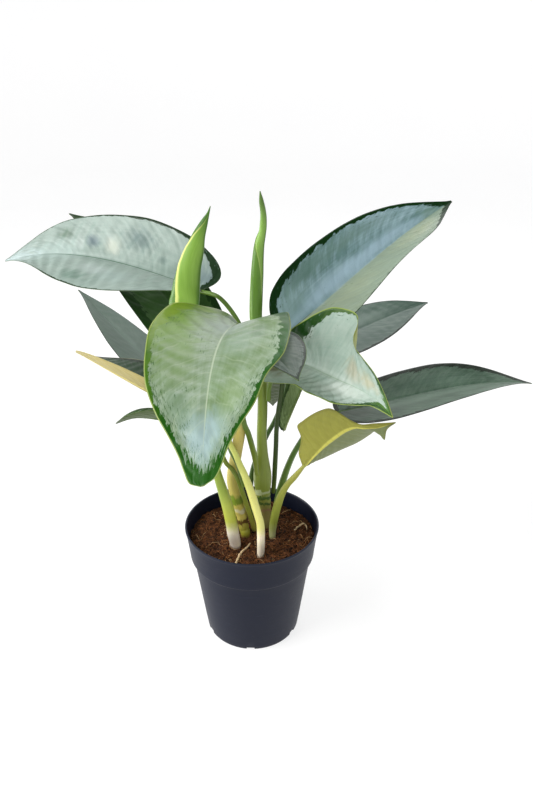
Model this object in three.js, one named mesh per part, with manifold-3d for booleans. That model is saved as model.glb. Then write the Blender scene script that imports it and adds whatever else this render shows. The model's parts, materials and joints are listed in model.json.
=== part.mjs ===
// Potted Chinese evergreen (Aglaonema) in a round plastic nursery pot.
// Millimetres, +Z up. Origin: centre of the pot's flat underside.
// Pot, potting mix, three canes, leaf stalks, leaf blades, two rolled young leaves
// and two loose surface roots are separate closed bodies.

import * as THREE from 'three';
import * as BufferGeometryUtils from 'three/addons/utils/BufferGeometryUtils.js';
import Module from 'manifold-3d';

// ---------- driving dimensions ----------
const POT_RIM_R = 60;         // outer radius at the top edge
const POT_HEIGHT = 109;
const POT_BASE_R = 43.2;      // outer radius at the underside
const COLLAR_Z = 79.5;        // lower edge of the wide collar
const COLLAR_R = 56.2;        // outer radius at the lower edge of the collar
const BODY_TOP_R = 53.4;      // outer radius of the tapered body just under the collar
const WALL = 1.5;             // wall thickness
const FLOOR = 2.0;            // floor thickness
const POT_SEGMENTS = 56;
const DRAIN_COUNT = 6;        // drain slots in the bottom edge
const DRAIN_W = 7;
const DRAIN_H = 4.2;
const DRAIN_FIRST_DEG = -92;  // plan angle of the first slot
const SOIL_Z = 95;            // mean height of the potting mix
const SOIL_RELIEF = 1.1;      // unevenness of the potting mix
const GAP = 0.3;              // clearance between touching pieces
const BLADE_THICK = 0.9;
const STEM_SIDES = 8;
const ROLL_SIDES = 14;
const ROLL_STEP = 0.14;       // how far the overlapping edge stands off
const ROLL_FLAT = 0.62;       // rolled leaf 07 is flattened front to back

// Leaf blades. mid: control points of the midrib curve; roll: turn of the blade about
// the midrib in degrees (value, linear, square); W: greatest half width; lb: how far the
// base lobes reach back; sw: forward sweep of the side veins; fl, fr: half-width profile of
// the left and right half; aL, aR: rise of each half from the midrib in degrees at base,
// middle and tip; kL, kR: curvature of each half (1/m).
// Drawn blades: midrib, left edge and right edge as point rows.
// Stems: x, y, z, radius. Rolled leaves: x, y, z, radius.
const BLADES = {
  blade_01: {
    mid: [[-39.01, 22.97, 315.61], [-89.89, 56.65, 326.11], [-136.8, 77.8, 334.71], 
      [-178.5, 86.2, 336.26], [-215.47, 80.79, 326.24]],
    roll: [7.9, 30.3, -14.1],
    W: 42.44,
    lb: 0.098,
    sw: 0.065,
    fl: [0, 0.216, 0.503, 0.793, 0.983, 1.051, 1.015, 0.923, 0.759, 0.542, 0.325, 0.162, 0.059, 0.02],
    fr: [0, 0.214, 0.504, 0.817, 1.014, 1.072, 1.001, 0.905, 0.768, 0.55, 0.327, 0.162, 0.059, 0.02],
    aL: [23.6, 8.3, 19.5],
    aR: [16.5, 23.9, 11.6],
    kL: [-0.66, -5.09, -1.02],
    kR: [4.08, 5.58, 2.97],
  },
  blade_02: {
    mid: [[-40.19, 29.95, 265.07], [-67.84, 63.35, 294.14], [-96.76, 91.56, 320.74], 
      [-130, 113.54, 342.78], [-168.92, 129.3, 359.44]],
    roll: [21.7, -27.7, -4.2],
    W: 36.4,
    lb: 0.125,
    sw: 0.066,
    fl: [0, 0.22, 0.507, 0.788, 0.955, 1.001, 0.976, 0.893, 0.736, 0.539, 0.33, 0.165, 0.06, 0.02],
    fr: [0, 0.221, 0.504, 0.777, 0.937, 1.003, 0.984, 0.897, 0.738, 0.539, 0.33, 0.165, 0.06, 0.02],
    aL: [6.7, 11.1, 10.2],
    aR: [11, 10, 9],
    kL: [-0.95, 0.46, 0.37],
    kR: [-0, -0, -0],
  },
  blade_03: {
    mid: [[-48.19, 53.56, 208.86], [-81.98, 84.65, 210.49], [-112.35, 115.05, 224.63], 
      [-143.2, 142.49, 248.93], [-179.77, 164.57, 278.59]],
    roll: [-7.2, -15.9, -0.9],
    W: 35.72,
    lb: 0.05,
    sw: 0.068,
    fl: [0, 0.22, 0.501, 0.775, 0.941, 1.013, 0.985, 0.885, 0.728, 0.537, 0.33, 0.166, 0.06, 0.02],
    fr: [0, 0.22, 0.501, 0.773, 0.934, 1, 0.978, 0.889, 0.734, 0.539, 0.331, 0.166, 0.06, 0.02],
    aL: [5.9, 9.5, 11.9],
    aR: [8.7, 5.6, 12.4],
    kL: [-1.49, -0.61, 0.58],
    kR: [-0.85, -1.84, -0.7],
  },
  blade_04: {
    mid: [[-40.39, -23.25, 226.2], [-76.33, -2, 234.03], [-108.56, 24.85, 239.44], 
      [-138.3, 56.55, 240.8], [-167.29, 91.73, 237.66]],
    roll: [-28.3, 8.5, -7],
    W: 31.14,
    lb: 0,
    sw: 0.073,
    fl: [0, 0.22, 0.503, 0.782, 0.949, 1.013, 0.997, 0.91, 0.745, 0.542, 0.33, 0.165, 0.06, 0.02],
    fr: [0, 0.22, 0.501, 0.775, 0.942, 1.023, 1.023, 0.93, 0.75, 0.541, 0.329, 0.164, 0.06, 0.02],
    aL: [27.6, 18.7, 11.6],
    aR: [21.4, 27.8, 6.1],
    kL: [3.23, 1.45, 0.39],
    kR: [3.08, 5.89, 2.07],
  },
  blade_05: {
    mid: [[-31.32, -47.22, 217.7], [-53.71, -21.1, 221.29], [-79.45, 0.29, 216.65], 
      [-104.02, 20.14, 206.18], [-121.13, 41.67, 189.58]],
    roll: [-50.5, 57.7, 18.1],
    W: 26.5,
    lb: 0.111,
    sw: 0.068,
    fl: [0, 0.22, 0.501, 0.773, 0.934, 0.999, 0.974, 0.889, 0.733, 0.538, 0.331, 0.166, 0.06, 0.02],
    fr: [0, 0.22, 0.501, 0.772, 0.931, 0.996, 0.974, 0.883, 0.724, 0.539, 0.334, 0.167, 0.06, 0.02],
    aL: [15.2, 8.3, 6.6],
    aR: [8.1, 2.1, 15.4],
    kL: [0.82, -0.32, -0.46],
    kR: [-1, -2.72, -1.24],
  },
  blade_06: {
    mid: [[-7.41, -34.19, 305.57], [-17.1, -77.57, 316.82], [-20.49, -121.94, 316.89], 
      [-20.52, -167.79, 304.62], [-18.13, -215.47, 281.87]],
    roll: [-5.1, 0.8, -9.6],
    W: 42.51,
    lb: 0.239,
    sw: 0.057,
    fl: [0, 0.22, 0.498, 0.768, 0.997, 1.091, 1.034, 0.791, 0.656, 0.457, 0.311, 0.236, 0.159, 0.02],
    fr: [0, 0.22, 0.497, 0.751, 1.029, 1.027, 0.948, 0.843, 0.653, 0.45, 0.31, 0.232, 0.165, 0.02],
    aL: [14.4, 9.2, 2],
    aR: [22.6, 12.1, -10.4],
    kL: [1.22, -2.57, 0.35],
    kR: [2.76, 4.2, 0.82],
  },
  blade_09: {
    mid: [[27.15, -4.26, 287.35], [58.18, 26.75, 301.44], [89.33, 54.85, 324.75], 
      [126.92, 78.19, 350.35], [173.36, 96.74, 374.57]],
    roll: [-23.2, 16.2, -8.3],
    W: 43.07,
    lb: 0.05,
    sw: 0.069,
    fl: [0, 0.221, 0.514, 0.811, 0.958, 1.002, 0.972, 0.891, 0.735, 0.543, 0.336, 0.167, 0.06, 0.02],
    fr: [0, 0.222, 0.512, 0.795, 0.954, 0.998, 0.963, 0.884, 0.744, 0.548, 0.333, 0.166, 0.06, 0.02],
    aL: [18.1, 16.6, 17],
    aR: [12, 26.8, 10.8],
    kL: [0.72, 0.45, 0.65],
    kR: [1.23, 7.1, 2.08],
  },
  blade_10: {
    mid: [[35.44, 49.49, 251.63], [66.38, 86.94, 245.29], [98.59, 118.19, 249.43], 
      [134.45, 140.82, 259.45], [176.65, 153.09, 268.32]],
    roll: [-13.2, 1.9, -2.5],
    W: 33.83,
    lb: 0.112,
    sw: 0.068,
    fl: [0, 0.22, 0.501, 0.772, 0.93, 0.994, 0.97, 0.879, 0.735, 0.546, 0.333, 0.166, 0.06, 0.02],
    fr: [0, 0.22, 0.501, 0.773, 0.934, 1.003, 0.982, 0.895, 0.73, 0.533, 0.329, 0.166, 0.061, 0.02],
    aL: [8.1, 5.4, 13.1],
    aR: [6.3, 8.3, 10.9],
    kL: [-1, -2.11, -0.37],
    kR: [-1.26, -0.85, 0.28],
  },
  blade_12: {
    mid: [[9.69, -46.79, 301.29], [8.96, -71.02, 307.19], [12.71, -93.66, 310.06], 
      [20.93, -114.91, 309.21], [31.68, -135.64, 303.69]],
    roll: [-1.1, 5.7, 3.3],
    W: 23.5,
    lb: 0.109,
    sw: 0.069,
    fl: [0, 0.22, 0.5, 0.771, 0.932, 1.005, 0.986, 0.896, 0.734, 0.538, 0.33, 0.165, 0.06, 0.02],
    fr: [0, 0.22, 0.5, 0.771, 0.931, 1.001, 0.985, 0.899, 0.74, 0.54, 0.33, 0.165, 0.06, 0.02],
    aL: [10.8, 10.6, 8.9],
    aR: [10.8, 8.6, 10.8],
    kL: [0.02, 0.19, 0.06],
    kR: [-0.13, -0.39, -0.37],
  },
  blade_13: {
    mid: [[70.84, 0.96, 218.4], [118.33, 11.94, 221.09], [162.6, 26.11, 229.58], 
      [206.33, 40.17, 231.93], [252.31, 52.8, 221.91]],
    roll: [-10.1, 11.8, 1],
    W: 34.06,
    lb: 0.051,
    sw: 0.079,
    fl: [0, 0.221, 0.498, 0.759, 0.904, 0.968, 0.979, 0.917, 0.766, 0.556, 0.333, 0.164, 0.059, 0.02],
    fr: [0, 0.22, 0.502, 0.778, 0.932, 0.983, 0.983, 0.91, 0.745, 0.544, 0.332, 0.165, 0.06, 0.02],
    aL: [2.5, 14.9, 12.2],
    aR: [1.5, 14.5, 12.7],
    kL: [-1.81, 1.2, 2.94],
    kR: [-2.44, 0.9, 1.58],
  },
  blade_15: {
    mid: [[5.06, 24.97, 262.15], [8.72, 48.92, 238.65], [12.39, 72.86, 215.15], [16.05, 96.81, 191.66], 
      [19.71, 120.76, 168.16]],
    roll: [-0, 0, 0],
    W: 21,
    lb: 0.05,
    sw: 0.07,
    fl: [0, 0.22, 0.5, 0.77, 0.93, 1, 0.985, 0.9, 0.74, 0.54, 0.33, 0.165, 0.06, 0.02],
    fr: [0, 0.22, 0.5, 0.77, 0.93, 1, 0.985, 0.9, 0.74, 0.54, 0.33, 0.165, 0.06, 0.02],
    aL: [11, 10, 9],
    aR: [11, 10, 9],
    kL: [-0, -0, -0],
    kR: [0, 0, 0],
  },
  blade_16: {
    mid: [[28.17, 24.16, 188.64], [28.15, 24.15, 192.09], [34.2, 21.77, 207.87], 
      [42.72, 15.79, 234.74], [52.78, 6.06, 270.83]],
    roll: [180.4, -7.5, -0.5],
    W: 11.23,
    lb: 0.043,
    sw: 0.074,
    fl: [0, 0.218, 0.49, 0.746, 0.907, 0.982, 0.971, 0.893, 0.738, 0.54, 0.33, 0.165, 0.06, 0.02],
    fr: [0, 0.219, 0.495, 0.761, 0.92, 0.991, 0.978, 0.896, 0.738, 0.54, 0.33, 0.165, 0.06, 0.02],
    aL: [36.6, 36.6, 36.5],
    aR: [37.7, 35.8, 36.3],
    kL: [-0.44, -0.37, -0.15],
    kR: [-0.47, -0.51, -0.19],
  },
};

const DRAWN_BLADES = {
  blade_11: {
    mid: [[34.7, -38.6, 279.3], [36.7, -42.8, 279.9], [39, -47, 280.3], [41.3, -51.3, 280.5], 
      [44.5, -56.6, 280.9], [47.9, -63, 281.4], [51.6, -69.4, 281.7], [55.4, -76.7, 282.5], 
      [59.7, -84.2, 283.1], [63.9, -91.6, 283.8], [68, -99.8, 284.9], [72.3, -108.3, 285.6], 
      [76.4, -116.9, 286.1], [80.3, -125.6, 286.3], [83.7, -134.8, 285.3], [86.5, -144.4, 283.5]],
    left: [[34.7, -38.6, 279.3], [29.5, -35, 287.3], [28.4, -32.3, 295.7], [31.5, -33.8, 301.9], 
      [39.5, -38.2, 309.1], [47.9, -44.7, 316.7], [57.6, -53.7, 323.5], [66.5, -65.8, 325.8], 
      [71.4, -77.9, 325.9], [71, -87.1, 322.4], [67.9, -94.1, 316.7], [68, -100.8, 311.8], 
      [72.6, -108.4, 307], [78.8, -119, 300.7], [83.5, -131.8, 292], [86.5, -144.4, 283.5]],
    right: [[34.7, -38.6, 279.3], [22.9, -38.6, 279.3], [9.7, -42, 276.7], [2.5, -48.2, 272.9], 
      [6.9, -56, 270.3], [19.4, -62.2, 271], [30.9, -67.1, 272.3], [35.1, -72.6, 272.3], 
      [40, -79.6, 271.5], [48.2, -86.5, 270.8], [56, -94.4, 270.2], [63.9, -102.2, 272.5], 
      [70.5, -110.5, 275.9], [77, -119.7, 279.9], [83.5, -132.3, 281.2], [86.5, -144.4, 283.5]],
  },
  blade_14: {
    mid: [[42.7, -27.8, 182.6], [45.6, -29.5, 186.1], [49.5, -31.1, 192.1], [53.5, -33.6, 198.7], 
      [57.4, -36.2, 205], [61.2, -39.1, 210.8], [65, -42.1, 216.2], [68.7, -45.3, 221.4], 
      [72.2, -48.6, 226.2], [76.1, -52.2, 230.2], [79.9, -56.3, 233.3], [84.4, -60.1, 234.7], 
      [89.1, -62.8, 236], [94.4, -65.3, 237.7], [100.1, -68.3, 240.8], [105.8, -70.1, 244]],
    left: [[42.7, -27.8, 182.6], [40.6, -26.4, 188], [39.1, -24.9, 193.8], [40.5, -22.8, 200.8], 
      [40.6, -21.9, 207.6], [37.7, -21.2, 216.2], [42, -23.1, 221.9], [47.6, -26.7, 228.4], 
      [54.2, -31.5, 234.7], [61.3, -38, 239.8], [69, -46, 239], [75.6, -54.3, 237.7], 
      [82.5, -60, 237.3], [90.9, -63.3, 239.7], [98.9, -66.7, 241.8], [105.8, -70.1, 244]],
    right: [[42.7, -27.8, 182.6], [46.7, -27.2, 183.9], [51.4, -25.3, 185.5], [55.4, -23.8, 186.5], 
      [59.1, -23.2, 187.8], [66.2, -23.5, 191.9], [73.3, -24.7, 196.6], [78.6, -28, 201.3], 
      [84.2, -32.1, 206.8], [89, -36.9, 213.3], [92.2, -43.6, 220.3], [94.9, -51.3, 227.4], 
      [97.8, -59.7, 228.3], [99.1, -66.5, 227.9], [99.8, -68.7, 237.4], [105.8, -70.1, 244]],
  },
};

const STEMS = {
  cane_main: [[12, 15, 62, 4.2], [12.54, 11.63, 95, 4.63], [12.08, 14, 109.95, 4.96], 
    [11.18, 13, 122.58, 5.64], [9.83, 13.5, 130.82, 6.51], [9.5, 14, 144.22, 7.35], 
    [9.27, 14.5, 158.4, 6.4], [9.22, 15, 174.32, 4.83], [8.92, 15.5, 191.85, 4.34], 
    [9.58, 16.5, 212.51, 4.28], [9.63, 18, 236.97, 4.21], [8.43, 19.5, 257.1, 4.16], 
    [6.43, 21, 275.83, 4.52], [5.56, 21.8, 283.3, 4.91]],
  cane_left: [[-13.2, -19.6, 64, 4.2], [-14.35, -16.63, 95, 4.78], [-16.17, -19.4, 111, 5.22], 
    [-17.02, -19.5, 119.48, 5.1], [-19.48, -19.7, 135.09, 4.96], [-22.89, -20, 150.39, 4.48], 
    [-27.01, -20, 167.1, 3.83], [-30.34, -19, 181.85, 3.3], [-32.93, -17.5, 193.24, 2.79]],
  cane_pale: [[-6, 2, 64, 4.2], [-6.07, -0.58, 95, 4.36], [-7.38, 1, 101.55, 4.53], 
    [-9.4, 0.5, 115.99, 4.66], [-11.46, 0, 124.85, 4.98], [-13.84, -1, 137.04, 5.1], 
    [-16.5, -2, 154.07, 5.03], [-13.87, -3, 174.56, 4.95], [-9.46, -4, 200.06, 4.68], 
    [-7.84, -4.5, 211.49, 4.22]],
  stalk_03: [[7.2, -34.5, 70, 3], [7.89, -30.53, 95, 3.12], [8.31, -31, 112.25, 3.41], 
    [7.92, -29, 126.27, 3.39], [5.83, -27.5, 135.37, 3.37], [3.34, -26, 144.38, 3.44], 
    [0.06, -24, 155.94, 3.42], [-4.82, -22, 170.25, 2.98], [-8.83, -21, 180.17, 2.64], 
    [-12.8, -19.5, 190.62, 2.38], [-16.91, -16, 197.55, 2.21], [-22.36, -3, 207.03, 2.16], 
    [-31.56, 14, 218.39, 2.12], [-46.53, 51.84, 208.64, 1.8]],
  stalk_04: [[2.42, 6.52, 92, 2.02], [1.58, 5, 98.66, 2.38], [-1.72, -1.5, 117.37, 2.23], 
    [-5.82, -5, 135.51, 2.1], [-9.33, -9, 152.37, 1.98], [-12.03, -11.5, 162.88, 1.95], 
    [-16.09, -11.5, 170.73, 1.86], [-21.43, -11, 177.23, 1.85], [-29.01, -8.5, 194.91, 1.83], 
    [-39.17, -23.55, 224.15, 1.8]],
  stalk_02: [[-6.33, -13, 154.89, 1.7], [-8.45, -15.2, 166.12, 1.85], [-10.76, -15.8, 176.17, 1.83], 
    [-13.59, -14.5, 183.07, 1.83], [-17.49, -9, 188.56, 1.84], [-21.29, 4, 199.7, 1.86], 
    [-29.3, 22, 226.92, 1.88], [-39.54, 29.48, 262.81, 1.8]],
  stalk_06: [[4.55, 2.2, 157.57, 2.09], [3.1, 2, 172.68, 2.41], [0.35, -3, 189.09, 2.45], 
    [-2.29, -8.5, 203.34, 2.31], [-5.3, -12.5, 214.57, 2.2], [-8.05, -16, 236.73, 2.14], 
    [-9.79, -19, 263.56, 2.01], [-9.91, -24, 285.77, 1.88], [-7.7, -33.58, 303.27, 1.9]],
  stalk_09: [[19.22, 19.2, 128.22, 2.01], [19.97, 18.5, 141.44, 2.17], [20.58, 17, 157.96, 2.23], 
    [21.32, 15, 179.31, 2.1], [21.62, 13, 195.08, 2.07], [23.06, 10, 214.66, 2.03], 
    [25.39, 6, 235.78, 1.98], [26.2, 0, 262.84, 1.92], [27.06, -3.85, 284.99, 1.9]],
  stalk_10: [[2.06, 28.58, 92, 2.19], [-0.44, 23, 117.06, 2.41], [-1.4, 24.5, 135.61, 2.38], 
    [1.65, 26, 152.7, 2.27], [8.96, 27, 171.77, 2.15], [14.34, 28, 184.38, 2.14], 
    [20.18, 30, 195.31, 2.13], [27.59, 36, 212.06, 2.12], [33.29, 44, 232.65, 2.03], 
    [35.18, 48.83, 249.34, 1.8]],
  stalk_13: [[21.07, 26.96, 92, 2.85], [22.81, 25, 110.22, 3.27], [25.47, 24.5, 125.91, 3.42], 
    [29.42, 24, 142.31, 3.1], [32.88, 23.5, 154.16, 2.8], [37.13, 22, 166.37, 2.59], 
    [42.58, 20, 178.59, 2.47], [50.61, 15, 195.99, 2.33], [59.86, 8, 211.87, 2.2], 
    [69.03, 2.12, 217.32, 1.9]],
  stalk_14: [[18, -6, 76, 2.6], [18.24, -4.3, 95, 2.89], [18.64, -4.5, 106.6, 3.4], 
    [20.5, -6.5, 120.83, 3.62], [23.01, -9, 134.03, 3.57], [26.55, -12, 147.23, 3.09], 
    [31.16, -16, 158.75, 2.62], [36.68, -21, 169.16, 2.41], [41.77, -26.76, 180.63, 1.9]],
  stalk_11: [[14.67, 8, 225.79, 1.92], [15.05, 4, 238.45, 1.97], [18.19, -6, 252.35, 1.92], 
    [24.94, -20, 264.79, 1.77], [33.75, -36.89, 277.96, 1.8]],
  stalk_12: [[9.29, 11, 249.78, 1.81], [6.98, 3, 265.12, 1.85], [6.06, -12, 280.68, 1.7], 
    [7.06, -27, 292.33, 1.48], [9.28, -44.69, 300.22, 1.5]],
  stalk_01: [[1.99, 15.5, 224.23, 1.78], [1.28, 16, 240.54, 1.93], [-1.32, 14.5, 266.01, 1.88], 
    [-8.98, 12.5, 291.37, 1.84], [-23.29, 9, 312.81, 1.72], [-37.04, 21.69, 315.12, 1.8]],
  stalk_15: [[10.84, 27, 221.88, 1.9], [10.43, 28, 235.52, 1.89], [9.61, 28, 249.31, 1.78], 
    [6.36, 25.84, 258.47, 1.7]],
  stalk_07: [[-6.07, -6.5, 230.61, 2.11], [-9.8, -8, 245.39, 2], [-21.95, -10, 263.34, 1.89], 
    [-36.2, -12.5, 274.3, 1.7], [-42.9, -20.63, 283.04, 2]],
};

const ROLLED = {
  rolled_leaf_08: [[5.24, 22.49, 285.64, 4.25], [4.45, 23.27, 292.19, 5.37], [4.76, 25.45, 306.61, 5.65], 
    [5.67, 26.56, 325.92, 5.42], [6.45, 27.5, 340.04, 4.81], [7.61, 27.02, 351.05, 4.14], 
    [9.66, 27.53, 359.41, 3.18], [10.45, 27.36, 366.26, 2.93], [10.47, 26.75, 374.58, 2.45], 
    [9.05, 26.41, 383.47, 1.9], [8.1, 25.38, 390.85, 0.38]],
  rolled_leaf_07: [[-44.1, -20.83, 284.64, 2.42], [-46.87, -19.29, 292.85, 6.02], 
    [-48.12, -17.46, 301.68, 9.75], [-49.12, -13.45, 312.88, 12.12], 
    [-48.02, -11.64, 319.28, 11.8], [-46.38, -10.26, 329.54, 10.84], 
    [-43.79, -8.14, 341.42, 9.29], [-39.76, -6.08, 353.17, 7.62], [-36.51, -4.94, 362.91, 5.32], 
    [-32.36, -4.09, 372.02, 3.11], [-29.05, -4.33, 378.72, 1.15], [-27.15, -4.17, 383.9, 0.29]],
};

const ROOTS = {
  root_right: [[38.62, 5.7, 97.6, 0.7], [42.03, 10.18, 97.6, 0.8], [45.86, 12.99, 97.6, 0.8], 
    [49.01, 11.42, 97.6, 0.7], [50.11, 6.47, 97.6, 0.5]],
  root_front: [[-12.95, -43.53, 97.6, 0.8], [-11.43, -35.18, 97.6, 1], [-8.74, -26.32, 97.6, 1], 
    [-5.03, -19.33, 97.6, 0.9], [-1.2, -13.61, 97.6, 0.7]],
};

const V_ROWS = [0.004, 0.022, 0.055, 0.1, 0.18, 0.29, 0.42, 0.56, 0.7, 0.83, 0.93, 0.995];
const R_COLS = [1, 0.68, 0.34, 0, -0.34, -0.68, -1];
const KN = [0, 0.02, 0.06, 0.13, 0.22, 0.34, 0.46, 0.58, 0.70, 0.80, 0.88, 0.94, 0.98, 1.0];

// ---------- small vector helpers ----------
const add = (a, b) => [a[0] + b[0], a[1] + b[1], a[2] + b[2]];
const sub = (a, b) => [a[0] - b[0], a[1] - b[1], a[2] - b[2]];
const mul = (a, s) => [a[0] * s, a[1] * s, a[2] * s];
const dot = (a, b) => a[0] * b[0] + a[1] * b[1] + a[2] * b[2];
const cross = (a, b) => [a[1] * b[2] - a[2] * b[1], a[2] * b[0] - a[0] * b[2], a[0] * b[1] - a[1] * b[0]];
const len = (a) => Math.sqrt(dot(a, a));
const unit = (a) => { const l = len(a) || 1; return [a[0] / l, a[1] / l, a[2] / l]; };
const lerp = (a, b, t) => [a[0] + (b[0] - a[0]) * t, a[1] + (b[1] - a[1]) * t, a[2] + (b[2] - a[2]) * t];

function bezier(P, t) {
  let Q = P.map((p) => p.slice());
  for (let n = Q.length - 1; n > 0; n--) for (let i = 0; i < n; i++) Q[i] = lerp(Q[i], Q[i + 1], t);
  return Q[0];
}

// Moves a starting normal along a row of points without twisting it.
function transport(M, T, n0) {
  const N = [n0];
  for (let i = 0; i < M.length - 1; i++) {
    const v1 = sub(M[i + 1], M[i]), c1 = dot(v1, v1) || 1e-12;
    const rL = sub(N[i], mul(v1, 2 / c1 * dot(v1, N[i])));
    const tL = sub(T[i], mul(v1, 2 / c1 * dot(v1, T[i])));
    const v2 = sub(T[i + 1], tL), c2 = dot(v2, v2);
    N.push(c2 < 1e-12 ? rL : sub(rL, mul(v2, 2 / c2 * dot(v2, rL))));
  }
  return N;
}

// Midrib sampled at even arc length with its tangents, normals and side directions.
function midribFrames(P, roll, NS = 64) {
  const X = [], S = [0], n = P.length - 1;
  for (let i = 0; i <= 256; i++) X.push(bezier(P, i / 256));
  for (let i = 0; i < 256; i++) S.push(S[i] + len(sub(X[i + 1], X[i])));
  const L = S[256], M = [], T = [];
  const D = P.slice(1).map((p, i) => mul(sub(p, P[i]), n));
  let k = 0;
  for (let i = 0; i <= NS; i++) {
    const s = L * i / NS;
    while (k < 255 && S[k + 1] < s) k++;
    const t = (k + (s - S[k]) / (S[k + 1] - S[k])) / 256;
    M.push(bezier(P, t)); T.push(unit(bezier(D, t)));
  }
  const z = [0, 0, 1];
  const N = transport(M, T, unit(sub(z, mul(T[0], T[0][2]))));
  const N2 = [], B2 = [];
  for (let i = 0; i <= NS; i++) {
    const u = i / NS, r = (roll[0] + roll[1] * u + roll[2] * u * u) * Math.PI / 180;
    const B = cross(N[i], T[i]);
    N2.push(add(mul(N[i], Math.cos(r)), mul(B, Math.sin(r))));
    B2.push(sub(mul(B, Math.cos(r)), mul(N[i], Math.sin(r))));
  }
  return { L, M, T, N: N2, B: B2, NS };
}

// Smooth curve through the half-width knots that never overshoots them.
function profile(y, q) {
  const x = KN, n = x.length, h = [], d = [], m = new Array(n).fill(0);
  for (let i = 0; i < n - 1; i++) { h.push(x[i + 1] - x[i]); d.push((y[i + 1] - y[i]) / h[i]); }
  m[0] = d[0]; m[n - 1] = d[n - 2];
  for (let i = 1; i < n - 1; i++) if (d[i - 1] * d[i] > 0) {
    const w1 = 2 * h[i] + h[i - 1], w2 = h[i] + 2 * h[i - 1];
    m[i] = (w1 + w2) / (w1 / d[i - 1] + w2 / d[i]);
  }
  let k = 0;
  while (k < n - 2 && x[k + 1] <= q) k++;
  const t = (q - x[k]) / h[k];
  return (1 + 2 * t) * (1 - t) ** 2 * y[k] + t * (1 - t) ** 2 * h[k] * m[k]
    + t * t * (3 - 2 * t) * y[k + 1] + t * t * (t - 1) * h[k] * m[k + 1];
}
const three = (a, u) => a[0] * (1 - u) * (1 - 2 * u) + a[1] * 4 * u * (1 - u) + a[2] * u * (2 * u - 1);

// Point of a blade: v along the midrib, r out from it (positive on the left half).
function bladePoint(leaf, fr, v, rs) {
  const side = rs >= 0 ? 1 : -1, r = Math.abs(rs);
  const te = leaf.W * profile(side > 0 ? leaf.fl : leaf.fr, v);
  const q = v / 0.08, beta = q * Math.exp(1 - q);
  const gam = Math.sin(Math.PI * v) * (1 - v) ** 0.3;
  const se = v - leaf.lb * beta + leaf.sw * gam;
  const s = v + (se - v) * r ** 1.3, t = te * r;
  const sc = Math.min(1, Math.max(0, s)), ii = sc * fr.NS;
  const k = Math.min(fr.NS - 1, Math.floor(ii)), w = ii - k;
  let M = lerp(fr.M[k], fr.M[k + 1], w);
  const T = lerp(fr.T[k], fr.T[k + 1], w), N = lerp(fr.N[k], fr.N[k + 1], w), B = lerp(fr.B[k], fr.B[k + 1], w);
  M = add(M, mul(T, (s - sc) * fr.L));
  const al = three(side > 0 ? leaf.aL : leaf.aR, v) * Math.PI / 180;
  const h = three(side > 0 ? leaf.kL : leaf.kR, v) / 1000 * t / 2;
  const sinc = Math.abs(h) < 1e-9 ? 1 : Math.sin(h) / h;
  return add(M, add(mul(B, side * t * Math.cos(al + h) * sinc), mul(N, t * Math.sin(al + h) * sinc)));
}

function catmull(P, u) {
  const n = P.length - 1, k = Math.min(n - 1, Math.floor(u)), t = u - k;
  const g = (i) => i < 0 ? P[0].map((x, j) => 2 * x - P[1][j]) : i > n ? P[n].map((x, j) => 2 * x - P[n - 1][j]) : P[i];
  const a = g(k - 1), b = g(k), c = g(k + 1), d = g(k + 2);
  return b.map((_, i) => 0.5 * (2 * b[i] + (c[i] - a[i]) * t + (2 * a[i] - 5 * b[i] + 4 * c[i] - d[i]) * t * t
    + (3 * b[i] - 3 * c[i] + d[i] - a[i]) * t ** 3));
}

// ---------- closed meshes ----------
function meshGeometry(verts, tris) {
  const g = new THREE.BufferGeometry();
  g.setAttribute('position', new THREE.Float32BufferAttribute(verts.flat(), 3));
  g.setIndex(tris.flat());
  // faces must point outwards: the signed volume tells
  let vol = 0;
  for (const [a, b, c] of tris) vol += dot(verts[a], cross(verts[b], verts[c]));
  if (vol < 0) g.setIndex(tris.map(([a, b, c]) => [a, c, b]).flat());
  g.computeVertexNormals();
  return g;
}

// A grid of points thickened by half the thickness to each side and closed round the rim.
function slab(grid, thick) {
  const R = grid.length, Cn = grid[0].length, V = [], F = [];
  const nrm = (i, j) => {
    const a = grid[Math.min(R - 1, i + 1)][j], b = grid[Math.max(0, i - 1)][j];
    const c = grid[i][Math.min(Cn - 1, j + 1)], d = grid[i][Math.max(0, j - 1)];
    return unit(cross(sub(a, b), sub(c, d)));
  };
  for (let s = 0; s < 2; s++) for (let i = 0; i < R; i++) for (let j = 0; j < Cn; j++)
    V.push(add(grid[i][j], mul(nrm(i, j), (s ? -0.5 : 0.5) * thick)));
  const id = (s, i, j) => s * R * Cn + i * Cn + j;
  for (let i = 0; i < R - 1; i++) for (let j = 0; j < Cn - 1; j++) {
    F.push([id(0, i, j), id(0, i + 1, j), id(0, i + 1, j + 1)], [id(0, i, j), id(0, i + 1, j + 1), id(0, i, j + 1)]);
    F.push([id(1, i, j), id(1, i + 1, j + 1), id(1, i + 1, j)], [id(1, i, j), id(1, i, j + 1), id(1, i + 1, j + 1)]);
  }
  const rim = [];
  for (let j = 0; j < Cn; j++) rim.push([0, j]);
  for (let i = 1; i < R; i++) rim.push([i, Cn - 1]);
  for (let j = Cn - 2; j >= 0; j--) rim.push([R - 1, j]);
  for (let i = R - 2; i > 0; i--) rim.push([i, 0]);
  for (let k = 0; k < rim.length; k++) {
    const [i, j] = rim[k], [p, q] = rim[(k + 1) % rim.length];
    F.push([id(0, i, j), id(0, p, q), id(1, p, q)], [id(0, i, j), id(1, p, q), id(1, i, j)]);
  }
  return meshGeometry(V, F);
}

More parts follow.
